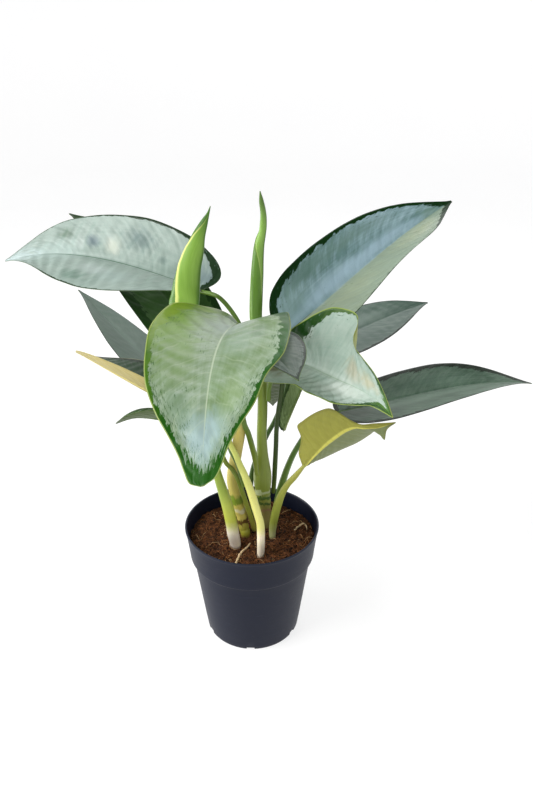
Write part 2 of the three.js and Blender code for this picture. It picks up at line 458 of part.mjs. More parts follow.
// Rings of equal size joined into a closed skin with fan caps.
function loft(rings) {
  const n = rings[0].length, V = rings.flat(), F = [];
  for (let i = 0; i < rings.length - 1; i++) for (let j = 0; j < n; j++) {
    const a = i * n + j, b = i * n + (j + 1) % n, c = a + n, d = b + n;
    F.push([a, b, d], [a, d, c]);
  }
  const mean = (r) => mul(r.reduce((s, p) => add(s, p), [0, 0, 0]), 1 / n);
  V.push(mean(rings[0])); const c0 = V.length - 1;
  V.push(mean(rings[rings.length - 1])); const c1 = V.length - 1, o = (rings.length - 1) * n;
  for (let j = 0; j < n; j++) { F.push([c0, (j + 1) % n, j]); F.push([c1, o + j, o + (j + 1) % n]); }
  return meshGeometry(V, F);
}

function stemGeometry(rows, grow = 0, sides = STEM_SIDES) {
  const P = [], Rr = [], n = rows.length - 1;
  for (let i = 0; i <= 2 * n; i++) { const q = catmull(rows, i / 2); P.push(q.slice(0, 3)); Rr.push(q[3] + grow); }
  const T = P.map((p, i) => unit(sub(P[Math.min(P.length - 1, i + 1)], P[Math.max(0, i - 1)])));
  const y = [0, -1, 0], N = transport(P, T, unit(sub(y, mul(T[0], dot(y, T[0])))));
  if (grow) P[0] = sub(P[0], mul(T[0], grow));        // a grown stem is longer at its foot as well
  return loft(P.map((p, i) => {
    const B = cross(T[i], N[i]);
    return Array.from({ length: sides }, (_, j) => {
      const a = 2 * Math.PI * j / sides;
      return add(p, add(mul(N[i], Rr[i] * Math.cos(a)), mul(B, Rr[i] * Math.sin(a))));
    });
  }));
}

// A rolled young leaf: the section is a closed turn whose outer edge overlaps its start.
function rolledGeometry(rows, flat, seamDeg, twistDeg) {
  const P = rows.map((r) => r.slice(0, 3)), n = P.length - 1;
  const front = unit([0.03, -0.91, 0.41]);
  return loft(P.map((p, i) => {
    const T = unit(sub(P[Math.min(n, i + 1)], P[Math.max(0, i - 1)]));
    const Nf = unit(sub(front, mul(T, dot(front, T)))), S = cross(Nf, T), R = rows[i][3];
    const seam = (seamDeg + twistDeg * i / n) * Math.PI / 180;
    return Array.from({ length: ROLL_SIDES + 1 }, (_, j) => {
      const f = j / ROLL_SIDES, a = seam + 2 * Math.PI * f, r = R * (1 - ROLL_STEP * f);
      return add(p, add(mul(Nf, flat * r * Math.cos(a)), mul(S, r * Math.sin(a))));
    });
  }));
}

// ---------- booleans ----------
const wasm = await Module();
wasm.setup();
function solid(geometry) {
  const g = geometry.clone();
  for (const k of Object.keys(g.attributes)) if (k !== 'position') g.deleteAttribute(k);
  const m = BufferGeometryUtils.mergeVertices(g, 1e-4);
  const mesh = new wasm.Mesh({ numProp: 3, vertProperties: new Float32Array(m.attributes.position.array), triVerts: new Uint32Array(m.index.array) });
  mesh.merge();
  return new wasm.Manifold(mesh);
}
function fromSolid(s) {
  const m = s.getMesh(), g = new THREE.BufferGeometry();
  g.setAttribute('position', new THREE.BufferAttribute(new Float32Array(m.vertProperties), 3));
  g.setIndex(new THREE.BufferAttribute(new Uint32Array(m.triVerts), 1));
  g.computeVertexNormals();
  return g;
}

// ---------- assembly ----------
const plant = new THREE.Group();
function put(name, geometry, color, roughness, metalness = 0) {
  const mesh = new THREE.Mesh(geometry, new THREE.MeshStandardMaterial({ color, roughness, metalness }));
  mesh.name = name;
  plant.add(mesh);
  return mesh;
}

// Pot: one turned wall with a wide collar, flat floor and six drain slots in the bottom edge.
const v2 = (x, y) => new THREE.Vector2(x, y);
const potProfile = [
  v2(0, 0), v2(POT_BASE_R - 0.8, 0), v2(POT_BASE_R, 0.9), v2(BODY_TOP_R, COLLAR_Z - 2.3), v2(COLLAR_R - 0.4, COLLAR_Z),
  v2(COLLAR_R, COLLAR_Z + 0.7), v2(POT_RIM_R - 0.25, POT_HEIGHT - 1.6), v2(POT_RIM_R, POT_HEIGHT - 0.6), v2(POT_RIM_R - 0.5, POT_HEIGHT),
  v2(POT_RIM_R - WALL - 0.2, POT_HEIGHT), v2(POT_RIM_R - WALL - 0.6, POT_HEIGHT - 1.2),
  v2(COLLAR_R - WALL, COLLAR_Z + 0.4), v2(BODY_TOP_R - WALL, COLLAR_Z - 2.8), v2(POT_BASE_R - WALL + 0.3, FLOOR), v2(0, FLOOR),
];
const potTurn = new THREE.LatheGeometry(potProfile, POT_SEGMENTS);
potTurn.rotateX(Math.PI / 2);
let pot = solid(potTurn);
for (let i = 0; i < DRAIN_COUNT; i++) {
  const slot = new THREE.BoxGeometry(9, DRAIN_W, 2 * DRAIN_H);
  slot.translate(POT_BASE_R - 1.5, 0, 0);
  slot.rotateZ((DRAIN_FIRST_DEG + 360 * i / DRAIN_COUNT) * Math.PI / 180);
  pot = pot.subtract(solid(slot));
}
put('pot', fromSolid(pot), 0x404858, 0.55);

// Potting mix: fills the pot to a little below the rim, uneven on top, pierced by the stems.
function soilHeight(r, a) {
  return SOIL_Z + SOIL_RELIEF * (0.5 * Math.sin(3 * a + 0.09 * r) + 0.35 * Math.sin(5 * a - 0.17 * r + 1.3) + 0.3 * Math.cos(0.21 * r + 2 * a)) * Math.min(1, r / 12)
    - 0.5 * (r / 56) ** 2;
}
const innerR = (z) => z > COLLAR_Z
  ? COLLAR_R - WALL + (POT_RIM_R - WALL - 0.6 - COLLAR_R + WALL) * (z - COLLAR_Z) / (POT_HEIGHT - 1.2 - COLLAR_Z)
  : POT_BASE_R - WALL + 0.3 + (BODY_TOP_R - WALL - (POT_BASE_R - WALL + 0.3)) * (z - FLOOR) / (COLLAR_Z - 2.8 - FLOOR);
const SEG = 40, RINGS = [0.2, 0.4, 0.6, 0.8, 1];
const soilV = [[0, 0, SOIL_Z]], soilF = [];
const soilTopR = innerR(SOIL_Z) - 0.9;
for (const f of RINGS) for (let j = 0; j < SEG; j++) {
  const a = 2 * Math.PI * j / SEG, r = soilTopR * f;
  soilV.push([r * Math.cos(a), r * Math.sin(a), soilHeight(r, a)]);
}
for (const z of [COLLAR_Z + 1, COLLAR_Z - 3.4, FLOOR + 4.6, FLOOR + 0.4]) for (let j = 0; j < SEG; j++) {
  const a = 2 * Math.PI * j / SEG, r = innerR(z) - (z > COLLAR_Z ? 1.1 : 0.75);
  soilV.push([r * Math.cos(a), r * Math.sin(a), z]);
}
soilV.push([0, 0, FLOOR + 0.4]);
const rows = RINGS.length + 4;
for (let j = 0; j < SEG; j++) {
  const k = (j + 1) % SEG;
  soilF.push([0, 1 + j, 1 + k]);
  for (let i = 0; i < rows - 1; i++) {
    const a = 1 + i * SEG + j, b = 1 + i * SEG + k, c = a + SEG, d = b + SEG;
    soilF.push([a, c, d], [a, d, b]);
  }
  soilF.push([1 + (rows - 1) * SEG + j, soilV.length - 1, 1 + (rows - 1) * SEG + k]);
}
let soil = solid(meshGeometry(soilV, soilF));
for (const [name, r] of Object.entries(STEMS)) if (Math.min(...r.map((p) => p[2])) < SOIL_Z + 4)
  soil = soil.subtract(solid(stemGeometry(r, GAP + 0.1)));
put('soil', fromSolid(soil), 0x4a2f20, 0.95);

// Canes and leaf stalks.
for (const [name, r] of Object.entries(STEMS)) put(name, stemGeometry(r), name === 'cane_pale' ? 0xc9c98a : 0x7d9a4a, 0.5);

// Leaf blades.
for (const [name, leaf] of Object.entries(BLADES)) {
  const fr = midribFrames(leaf.mid, leaf.roll);
  put(name, slab(V_ROWS.map((v) => R_COLS.map((r) => bladePoint(leaf, fr, v, r))), BLADE_THICK), 0x8fa79b, 0.4);
}
for (const [name, b] of Object.entries(DRAWN_BLADES)) {
  const us = [0.45]; for (let i = 1; i < 15; i++) us.push(i); us.push(14.6);
  const grid = us.map((u) => {
    const M = catmull(b.mid, u), Lf = catmull(b.left, u), Rt = catmull(b.right, u);
    return R_COLS.map((r) => lerp(M, r >= 0 ? Lf : Rt, Math.abs(r)));
  });
  put(name, slab(grid, BLADE_THICK), name === 'blade_14' ? 0xa5a25c : 0x9db3a4, 0.4);
}

// Rolled young leaves.
put('rolled_leaf_07', rolledGeometry(ROLLED.rolled_leaf_07, ROLL_FLAT, 60, 20), 0x9ab85a, 0.4);
put('rolled_leaf_08', rolledGeometry(ROLLED.rolled_leaf_08, 1, -40, 200), 0x6f9a4c, 0.4);

// Loose pale roots lying on the potting mix.
for (const [name, r] of Object.entries(ROOTS)) put(name, stemGeometry(r, 0, 6), 0xd8c7a0, 0.7);

export default plant;
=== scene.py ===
"""Looks of the potted Chinese evergreen: fine leaf, stem, pot and potting-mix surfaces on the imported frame. Metres, +Z up."""
import bpy, json, math
import numpy as np
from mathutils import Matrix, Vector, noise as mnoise

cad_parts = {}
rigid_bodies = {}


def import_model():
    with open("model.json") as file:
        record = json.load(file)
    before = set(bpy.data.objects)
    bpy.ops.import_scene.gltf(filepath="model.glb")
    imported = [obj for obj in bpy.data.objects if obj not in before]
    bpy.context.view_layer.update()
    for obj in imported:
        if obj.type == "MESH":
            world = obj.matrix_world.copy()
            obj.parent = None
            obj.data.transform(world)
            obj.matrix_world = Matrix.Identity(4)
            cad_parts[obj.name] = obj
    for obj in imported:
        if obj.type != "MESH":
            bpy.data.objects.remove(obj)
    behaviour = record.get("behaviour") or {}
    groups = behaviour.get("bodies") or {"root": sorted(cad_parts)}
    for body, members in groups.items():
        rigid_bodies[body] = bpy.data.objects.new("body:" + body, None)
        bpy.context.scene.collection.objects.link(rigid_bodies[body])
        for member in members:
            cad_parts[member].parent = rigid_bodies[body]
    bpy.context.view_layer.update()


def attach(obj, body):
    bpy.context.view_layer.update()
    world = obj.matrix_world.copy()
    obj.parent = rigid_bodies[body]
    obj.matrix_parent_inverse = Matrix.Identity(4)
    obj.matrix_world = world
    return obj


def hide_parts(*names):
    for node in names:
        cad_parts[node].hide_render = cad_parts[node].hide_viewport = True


for _o in list(bpy.data.objects):
    bpy.data.objects.remove(_o, do_unlink=True)

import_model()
MM = 0.001

BLADES = {
    'blade_01': {
        'mid': [[-39.01, 22.97, 315.61], [-89.89, 56.65, 326.11], [-136.8, 77.8, 334.71], [-178.5, 86.2, 336.26], 
            [-215.47, 80.79, 326.24]],
        'roll': [7.9, 30.3, -14.1],
        'W': 42.44,
        'lb': 0.098,
        'sw': 0.065,
        'fl': [0, 0.216, 0.503, 0.793, 0.983, 1.051, 1.015, 0.923, 0.759, 0.542, 0.325, 0.162, 0.059, 0.02],
        'fr': [0, 0.214, 0.504, 0.817, 1.014, 1.072, 1.001, 0.905, 0.768, 0.55, 0.327, 0.162, 0.059, 0.02],
        'aL': [23.6, 8.3, 19.5],
        'aR': [16.5, 23.9, 11.6],
        'kL': [-0.66, -5.09, -1.02],
        'kR': [4.08, 5.58, 2.97],
    },
    'blade_02': {
        'mid': [[-40.19, 29.95, 265.07], [-67.84, 63.35, 294.14], [-96.76, 91.56, 320.74], [-130, 113.54, 342.78], 
            [-168.92, 129.3, 359.44]],
        'roll': [21.7, -27.7, -4.2],
        'W': 36.4,
        'lb': 0.125,
        'sw': 0.066,
        'fl': [0, 0.22, 0.507, 0.788, 0.955, 1.001, 0.976, 0.893, 0.736, 0.539, 0.33, 0.165, 0.06, 0.02],
        'fr': [0, 0.221, 0.504, 0.777, 0.937, 1.003, 0.984, 0.897, 0.738, 0.539, 0.33, 0.165, 0.06, 0.02],
        'aL': [6.7, 11.1, 10.2],
        'aR': [11, 10, 9],
        'kL': [-0.95, 0.46, 0.37],
        'kR': [-0, -0, -0],
    },
    'blade_03': {
        'mid': [[-48.19, 53.56, 208.86], [-81.98, 84.65, 210.49], [-112.35, 115.05, 224.63], [-143.2, 142.49, 248.93], 
            [-179.77, 164.57, 278.59]],
        'roll': [-7.2, -15.9, -0.9],
        'W': 35.72,
        'lb': 0.05,
        'sw': 0.068,
        'fl': [0, 0.22, 0.501, 0.775, 0.941, 1.013, 0.985, 0.885, 0.728, 0.537, 0.33, 0.166, 0.06, 0.02],
        'fr': [0, 0.22, 0.501, 0.773, 0.934, 1, 0.978, 0.889, 0.734, 0.539, 0.331, 0.166, 0.06, 0.02],
        'aL': [5.9, 9.5, 11.9],
        'aR': [8.7, 5.6, 12.4],
        'kL': [-1.49, -0.61, 0.58],
        'kR': [-0.85, -1.84, -0.7],
    },
    'blade_04': {
        'mid': [[-40.39, -23.25, 226.2], [-76.33, -2, 234.03], [-108.56, 24.85, 239.44], [-138.3, 56.55, 240.8], 
            [-167.29, 91.73, 237.66]],
        'roll': [-28.3, 8.5, -7],
        'W': 31.14,
        'lb': 0,
        'sw': 0.073,
        'fl': [0, 0.22, 0.503, 0.782, 0.949, 1.013, 0.997, 0.91, 0.745, 0.542, 0.33, 0.165, 0.06, 0.02],
        'fr': [0, 0.22, 0.501, 0.775, 0.942, 1.023, 1.023, 0.93, 0.75, 0.541, 0.329, 0.164, 0.06, 0.02],
        'aL': [27.6, 18.7, 11.6],
        'aR': [21.4, 27.8, 6.1],
        'kL': [3.23, 1.45, 0.39],
        'kR': [3.08, 5.89, 2.07],
    },
    'blade_05': {
        'mid': [[-31.32, -47.22, 217.7], [-53.71, -21.1, 221.29], [-79.45, 0.29, 216.65], [-104.02, 20.14, 206.18], 
            [-121.13, 41.67, 189.58]],
        'roll': [-50.5, 57.7, 18.1],
        'W': 26.5,
        'lb': 0.111,
        'sw': 0.068,
        'fl': [0, 0.22, 0.501, 0.773, 0.934, 0.999, 0.974, 0.889, 0.733, 0.538, 0.331, 0.166, 0.06, 0.02],
        'fr': [0, 0.22, 0.501, 0.772, 0.931, 0.996, 0.974, 0.883, 0.724, 0.539, 0.334, 0.167, 0.06, 0.02],
        'aL': [15.2, 8.3, 6.6],
        'aR': [8.1, 2.1, 15.4],
        'kL': [0.82, -0.32, -0.46],
        'kR': [-1, -2.72, -1.24],
    },
    'blade_06': {
        'mid': [[-7.41, -34.19, 305.57], [-17.1, -77.57, 316.82], [-20.49, -121.94, 316.89], [-20.52, -167.79, 304.62], 
            [-18.13, -215.47, 281.87]],
        'roll': [-5.1, 0.8, -9.6],
        'W': 42.51,
        'lb': 0.239,
        'sw': 0.057,
        'fl': [0, 0.22, 0.498, 0.768, 0.997, 1.091, 1.034, 0.791, 0.656, 0.457, 0.311, 0.236, 0.159, 0.02],
        'fr': [0, 0.22, 0.497, 0.751, 1.029, 1.027, 0.948, 0.843, 0.653, 0.45, 0.31, 0.232, 0.165, 0.02],
        'aL': [14.4, 9.2, 2],
        'aR': [22.6, 12.1, -10.4],
        'kL': [1.22, -2.57, 0.35],
        'kR': [2.76, 4.2, 0.82],
    },
    'blade_09': {
        'mid': [[27.15, -4.26, 287.35], [58.18, 26.75, 301.44], [89.33, 54.85, 324.75], [126.92, 78.19, 350.35], 
            [173.36, 96.74, 374.57]],
        'roll': [-23.2, 16.2, -8.3],
        'W': 43.07,
        'lb': 0.05,
        'sw': 0.069,
        'fl': [0, 0.221, 0.514, 0.811, 0.958, 1.002, 0.972, 0.891, 0.735, 0.543, 0.336, 0.167, 0.06, 0.02],
        'fr': [0, 0.222, 0.512, 0.795, 0.954, 0.998, 0.963, 0.884, 0.744, 0.548, 0.333, 0.166, 0.06, 0.02],
        'aL': [18.1, 16.6, 17],
        'aR': [12, 26.8, 10.8],
        'kL': [0.72, 0.45, 0.65],
        'kR': [1.23, 7.1, 2.08],
    },
    'blade_10': {
        'mid': [[35.44, 49.49, 251.63], [66.38, 86.94, 245.29], [98.59, 118.19, 249.43], [134.45, 140.82, 259.45], 
            [176.65, 153.09, 268.32]],
        'roll': [-13.2, 1.9, -2.5],
        'W': 33.83,
        'lb': 0.112,
        'sw': 0.068,
        'fl': [0, 0.22, 0.501, 0.772, 0.93, 0.994, 0.97, 0.879, 0.735, 0.546, 0.333, 0.166, 0.06, 0.02],
        'fr': [0, 0.22, 0.501, 0.773, 0.934, 1.003, 0.982, 0.895, 0.73, 0.533, 0.329, 0.166, 0.061, 0.02],
        'aL': [8.1, 5.4, 13.1],
        'aR': [6.3, 8.3, 10.9],
        'kL': [-1, -2.11, -0.37],
        'kR': [-1.26, -0.85, 0.28],
    },
    'blade_12': {
        'mid': [[9.69, -46.79, 301.29], [8.96, -71.02, 307.19], [12.71, -93.66, 310.06], [20.93, -114.91, 309.21], 
            [31.68, -135.64, 303.69]],
        'roll': [-1.1, 5.7, 3.3],
        'W': 23.5,
        'lb': 0.109,
        'sw': 0.069,
        'fl': [0, 0.22, 0.5, 0.771, 0.932, 1.005, 0.986, 0.896, 0.734, 0.538, 0.33, 0.165, 0.06, 0.02],
        'fr': [0, 0.22, 0.5, 0.771, 0.931, 1.001, 0.985, 0.899, 0.74, 0.54, 0.33, 0.165, 0.06, 0.02],
        'aL': [10.8, 10.6, 8.9],
        'aR': [10.8, 8.6, 10.8],
        'kL': [0.02, 0.19, 0.06],
        'kR': [-0.13, -0.39, -0.37],
    },
    'blade_13': {
        'mid': [[70.84, 0.96, 218.4], [118.33, 11.94, 221.09], [162.6, 26.11, 229.58], [206.33, 40.17, 231.93], 
            [252.31, 52.8, 221.91]],
        'roll': [-10.1, 11.8, 1],
        'W': 34.06,
        'lb': 0.051,
        'sw': 0.079,
        'fl': [0, 0.221, 0.498, 0.759, 0.904, 0.968, 0.979, 0.917, 0.766, 0.556, 0.333, 0.164, 0.059, 0.02],
        'fr': [0, 0.22, 0.502, 0.778, 0.932, 0.983, 0.983, 0.91, 0.745, 0.544, 0.332, 0.165, 0.06, 0.02],
        'aL': [2.5, 14.9, 12.2],
        'aR': [1.5, 14.5, 12.7],
        'kL': [-1.81, 1.2, 2.94],
        'kR': [-2.44, 0.9, 1.58],
    },
    'blade_15': {
        'mid': [[5.06, 24.97, 262.15], [8.72, 48.92, 238.65], [12.39, 72.86, 215.15], [16.05, 96.81, 191.66], 
            [19.71, 120.76, 168.16]],
        'roll': [-0, 0, 0],
        'W': 21,
        'lb': 0.05,
        'sw': 0.07,
        'fl': [0, 0.22, 0.5, 0.77, 0.93, 1, 0.985, 0.9, 0.74, 0.54, 0.33, 0.165, 0.06, 0.02],
        'fr': [0, 0.22, 0.5, 0.77, 0.93, 1, 0.985, 0.9, 0.74, 0.54, 0.33, 0.165, 0.06, 0.02],
        'aL': [11, 10, 9],
        'aR': [11, 10, 9],
        'kL': [-0, -0, -0],
        'kR': [0, 0, 0],
    },
    'blade_16': {
        'mid': [[28.17, 24.16, 188.64], [28.15, 24.15, 192.09], [34.2, 21.77, 207.87], [42.72, 15.79, 234.74], 
            [52.78, 6.06, 270.83]],
        'roll': [180.4, -7.5, -0.5],
        'W': 11.23,
        'lb': 0.043,
        'sw': 0.074,
        'fl': [0, 0.218, 0.49, 0.746, 0.907, 0.982, 0.971, 0.893, 0.738, 0.54, 0.33, 0.165, 0.06, 0.02],
        'fr': [0, 0.219, 0.495, 0.761, 0.92, 0.991, 0.978, 0.896, 0.738, 0.54, 0.33, 0.165, 0.06, 0.02],
        'aL': [36.6, 36.6, 36.5],
        'aR': [37.7, 35.8, 36.3],
        'kL': [-0.44, -0.37, -0.15],
        'kR': [-0.47, -0.51, -0.19],
    },
}

DRAWN_BLADES = {
    'blade_11': {
        'mid': [[34.7, -38.6, 279.3], [36.7, -42.8, 279.9], [39, -47, 280.3], [41.3, -51.3, 280.5], [44.5, -56.6, 280.9], 
            [47.9, -63, 281.4], [51.6, -69.4, 281.7], [55.4, -76.7, 282.5], [59.7, -84.2, 283.1], [63.9, -91.6, 283.8], 
            [68, -99.8, 284.9], [72.3, -108.3, 285.6], [76.4, -116.9, 286.1], [80.3, -125.6, 286.3], [83.7, -134.8, 285.3], 
            [86.5, -144.4, 283.5]],
        'left': [[34.7, -38.6, 279.3], [29.5, -35, 287.3], [28.4, -32.3, 295.7], [31.5, -33.8, 301.9], [39.5, -38.2, 309.1], 
            [47.9, -44.7, 316.7], [57.6, -53.7, 323.5], [66.5, -65.8, 325.8], [71.4, -77.9, 325.9], [71, -87.1, 322.4], 
            [67.9, -94.1, 316.7], [68, -100.8, 311.8], [72.6, -108.4, 307], [78.8, -119, 300.7], [83.5, -131.8, 292], 
            [86.5, -144.4, 283.5]],
        'right': [[34.7, -38.6, 279.3], [22.9, -38.6, 279.3], [9.7, -42, 276.7], [2.5, -48.2, 272.9], [6.9, -56, 270.3], 
            [19.4, -62.2, 271], [30.9, -67.1, 272.3], [35.1, -72.6, 272.3], [40, -79.6, 271.5], [48.2, -86.5, 270.8], 
            [56, -94.4, 270.2], [63.9, -102.2, 272.5], [70.5, -110.5, 275.9], [77, -119.7, 279.9], [83.5, -132.3, 281.2], 
            [86.5, -144.4, 283.5]],
    },
    'blade_14': {
        'mid': [[42.7, -27.8, 182.6], [45.6, -29.5, 186.1], [49.5, -31.1, 192.1], [53.5, -33.6, 198.7], [57.4, -36.2, 205], 
            [61.2, -39.1, 210.8], [65, -42.1, 216.2], [68.7, -45.3, 221.4], [72.2, -48.6, 226.2], [76.1, -52.2, 230.2], 
            [79.9, -56.3, 233.3], [84.4, -60.1, 234.7], [89.1, -62.8, 236], [94.4, -65.3, 237.7], [100.1, -68.3, 240.8], 
            [105.8, -70.1, 244]],
        'left': [[42.7, -27.8, 182.6], [40.6, -26.4, 188], [39.1, -24.9, 193.8], [40.5, -22.8, 200.8], [40.6, -21.9, 207.6], 
            [37.7, -21.2, 216.2], [42, -23.1, 221.9], [47.6, -26.7, 228.4], [54.2, -31.5, 234.7], [61.3, -38, 239.8], 
            [69, -46, 239], [75.6, -54.3, 237.7], [82.5, -60, 237.3], [90.9, -63.3, 239.7], [98.9, -66.7, 241.8], 
            [105.8, -70.1, 244]],
        'right': [[42.7, -27.8, 182.6], [46.7, -27.2, 183.9], [51.4, -25.3, 185.5], [55.4, -23.8, 186.5], [59.1, -23.2, 187.8], 
            [66.2, -23.5, 191.9], [73.3, -24.7, 196.6], [78.6, -28, 201.3], [84.2, -32.1, 206.8], [89, -36.9, 213.3], 
            [92.2, -43.6, 220.3], [94.9, -51.3, 227.4], [97.8, -59.7, 228.3], [99.1, -66.5, 227.9], [99.8, -68.7, 237.4], 
            [105.8, -70.1, 244]],
    },
}

STEMS = {
    'cane_main': [[12, 15, 62, 4.2], [12.54, 11.63, 95, 4.63], [12.08, 14, 109.95, 4.96], [11.18, 13, 122.58, 5.64], 
        [9.83, 13.5, 130.82, 6.51], [9.5, 14, 144.22, 7.35], [9.27, 14.5, 158.4, 6.4], [9.22, 15, 174.32, 4.83], 
        [8.92, 15.5, 191.85, 4.34], [9.58, 16.5, 212.51, 4.28], [9.63, 18, 236.97, 4.21], [8.43, 19.5, 257.1, 4.16], 
        [6.43, 21, 275.83, 4.52], [5.56, 21.8, 283.3, 4.91]],
    'cane_left': [[-13.2, -19.6, 64, 4.2], [-14.35, -16.63, 95, 4.78], [-16.17, -19.4, 111, 5.22], [-17.02, -19.5, 119.48, 5.1], 
        [-19.48, -19.7, 135.09, 4.96], [-22.89, -20, 150.39, 4.48], [-27.01, -20, 167.1, 3.83], 
        [-30.34, -19, 181.85, 3.3], [-32.93, -17.5, 193.24, 2.79]],
    'cane_pale': [[-6, 2, 64, 4.2], [-6.07, -0.58, 95, 4.36], [-7.38, 1, 101.55, 4.53], [-9.4, 0.5, 115.99, 4.66], 
        [-11.46, 0, 124.85, 4.98], [-13.84, -1, 137.04, 5.1], [-16.5, -2, 154.07, 5.03], [-13.87, -3, 174.56, 4.95], 
        [-9.46, -4, 200.06, 4.68], [-7.84, -4.5, 211.49, 4.22]],
    'stalk_03': [[7.2, -34.5, 70, 3], [7.89, -30.53, 95, 3.12], [8.31, -31, 112.25, 3.41], [7.92, -29, 126.27, 3.39], 
        [5.83, -27.5, 135.37, 3.37], [3.34, -26, 144.38, 3.44], [0.06, -24, 155.94, 3.42], [-4.82, -22, 170.25, 2.98], 
        [-8.83, -21, 180.17, 2.64], [-12.8, -19.5, 190.62, 2.38], [-16.91, -16, 197.55, 2.21], 
        [-22.36, -3, 207.03, 2.16], [-31.56, 14, 218.39, 2.12], [-46.53, 51.84, 208.64, 1.8]],
    'stalk_04': [[2.42, 6.52, 92, 2.02], [1.58, 5, 98.66, 2.38], [-1.72, -1.5, 117.37, 2.23], [-5.82, -5, 135.51, 2.1], 
        [-9.33, -9, 152.37, 1.98], [-12.03, -11.5, 162.88, 1.95], [-16.09, -11.5, 170.73, 1.86], 
        [-21.43, -11, 177.23, 1.85], [-29.01, -8.5, 194.91, 1.83], [-39.17, -23.55, 224.15, 1.8]],
    'stalk_02': [[-6.33, -13, 154.89, 1.7], [-8.45, -15.2, 166.12, 1.85], [-10.76, -15.8, 176.17, 1.83], 
        [-13.59, -14.5, 183.07, 1.83], [-17.49, -9, 188.56, 1.84], [-21.29, 4, 199.7, 1.86], [-29.3, 22, 226.92, 1.88], 
        [-39.54, 29.48, 262.81, 1.8]],
    'stalk_06': [[4.55, 2.2, 157.57, 2.09], [3.1, 2, 172.68, 2.41], [0.35, -3, 189.09, 2.45], [-2.29, -8.5, 203.34, 2.31], 
        [-5.3, -12.5, 214.57, 2.2], [-8.05, -16, 236.73, 2.14], [-9.79, -19, 263.56, 2.01], [-9.91, -24, 285.77, 1.88], 
        [-7.7, -33.58, 303.27, 1.9]],
    'stalk_09': [[19.22, 19.2, 128.22, 2.01], [19.97, 18.5, 141.44, 2.17], [20.58, 17, 157.96, 2.23], [21.32, 15, 179.31, 2.1], 
        [21.62, 13, 195.08, 2.07], [23.06, 10, 214.66, 2.03], [25.39, 6, 235.78, 1.98], [26.2, 0, 262.84, 1.92], 
        [27.06, -3.85, 284.99, 1.9]],
    'stalk_10': [[2.06, 28.58, 92, 2.19], [-0.44, 23, 117.06, 2.41], [-1.4, 24.5, 135.61, 2.38], [1.65, 26, 152.7, 2.27], 
        [8.96, 27, 171.77, 2.15], [14.34, 28, 184.38, 2.14], [20.18, 30, 195.31, 2.13], [27.59, 36, 212.06, 2.12], 
        [33.29, 44, 232.65, 2.03], [35.18, 48.83, 249.34, 1.8]],
    'stalk_13': [[21.07, 26.96, 92, 2.85], [22.81, 25, 110.22, 3.27], [25.47, 24.5, 125.91, 3.42], [29.42, 24, 142.31, 3.1], 
        [32.88, 23.5, 154.16, 2.8], [37.13, 22, 166.37, 2.59], [42.58, 20, 178.59, 2.47], [50.61, 15, 195.99, 2.33], 
        [59.86, 8, 211.87, 2.2], [69.03, 2.12, 217.32, 1.9]],
    'stalk_14': [[18, -6, 76, 2.6], [18.24, -4.3, 95, 2.89], [18.64, -4.5, 106.6, 3.4], [20.5, -6.5, 120.83, 3.62], 
        [23.01, -9, 134.03, 3.57], [26.55, -12, 147.23, 3.09], [31.16, -16, 158.75, 2.62], [36.68, -21, 169.16, 2.41], 
        [41.77, -26.76, 180.63, 1.9]],
    'stalk_11': [[14.67, 8, 225.79, 1.92], [15.05, 4, 238.45, 1.97], [18.19, -6, 252.35, 1.92], [24.94, -20, 264.79, 1.77], 
        [33.75, -36.89, 277.96, 1.8]],
    'stalk_12': [[9.29, 11, 249.78, 1.81], [6.98, 3, 265.12, 1.85], [6.06, -12, 280.68, 1.7], [7.06, -27, 292.33, 1.48], 
        [9.28, -44.69, 300.22, 1.5]],
    'stalk_01': [[1.99, 15.5, 224.23, 1.78], [1.28, 16, 240.54, 1.93], [-1.32, 14.5, 266.01, 1.88], [-8.98, 12.5, 291.37, 1.84], 
        [-23.29, 9, 312.81, 1.72], [-37.04, 21.69, 315.12, 1.8]],
    'stalk_15': [[10.84, 27, 221.88, 1.9], [10.43, 28, 235.52, 1.89], [9.61, 28, 249.31, 1.78], [6.36, 25.84, 258.47, 1.7]],
    'stalk_07': [[-6.07, -6.5, 230.61, 2.11], [-9.8, -8, 245.39, 2], [-21.95, -10, 263.34, 1.89], [-36.2, -12.5, 274.3, 1.7], 
        [-42.9, -20.63, 283.04, 2]],
}

ROLLED = {
    'rolled_leaf_08': [[5.24, 22.49, 285.64, 4.25], [4.45, 23.27, 292.19, 5.37], [4.76, 25.45, 306.61, 5.65], 
        [5.67, 26.56, 325.92, 5.42], [6.45, 27.5, 340.04, 4.81], [7.61, 27.02, 351.05, 4.14], 
        [9.66, 27.53, 359.41, 3.18], [10.45, 27.36, 366.26, 2.93], [10.47, 26.75, 374.58, 2.45], 
        [9.05, 26.41, 383.47, 1.9], [8.1, 25.38, 390.85, 0.38]],
    'rolled_leaf_07': [[-44.1, -20.83, 284.64, 2.42], [-46.87, -19.29, 292.85, 6.02], [-48.12, -17.46, 301.68, 9.75], 
        [-49.12, -13.45, 312.88, 12.12], [-48.02, -11.64, 319.28, 11.8], [-46.38, -10.26, 329.54, 10.84], 
        [-43.79, -8.14, 341.42, 9.29], [-39.76, -6.08, 353.17, 7.62], [-36.51, -4.94, 362.91, 5.32], 
        [-32.36, -4.09, 372.02, 3.11], [-29.05, -4.33, 378.72, 1.15], [-27.15, -4.17, 383.9, 0.29]],
}

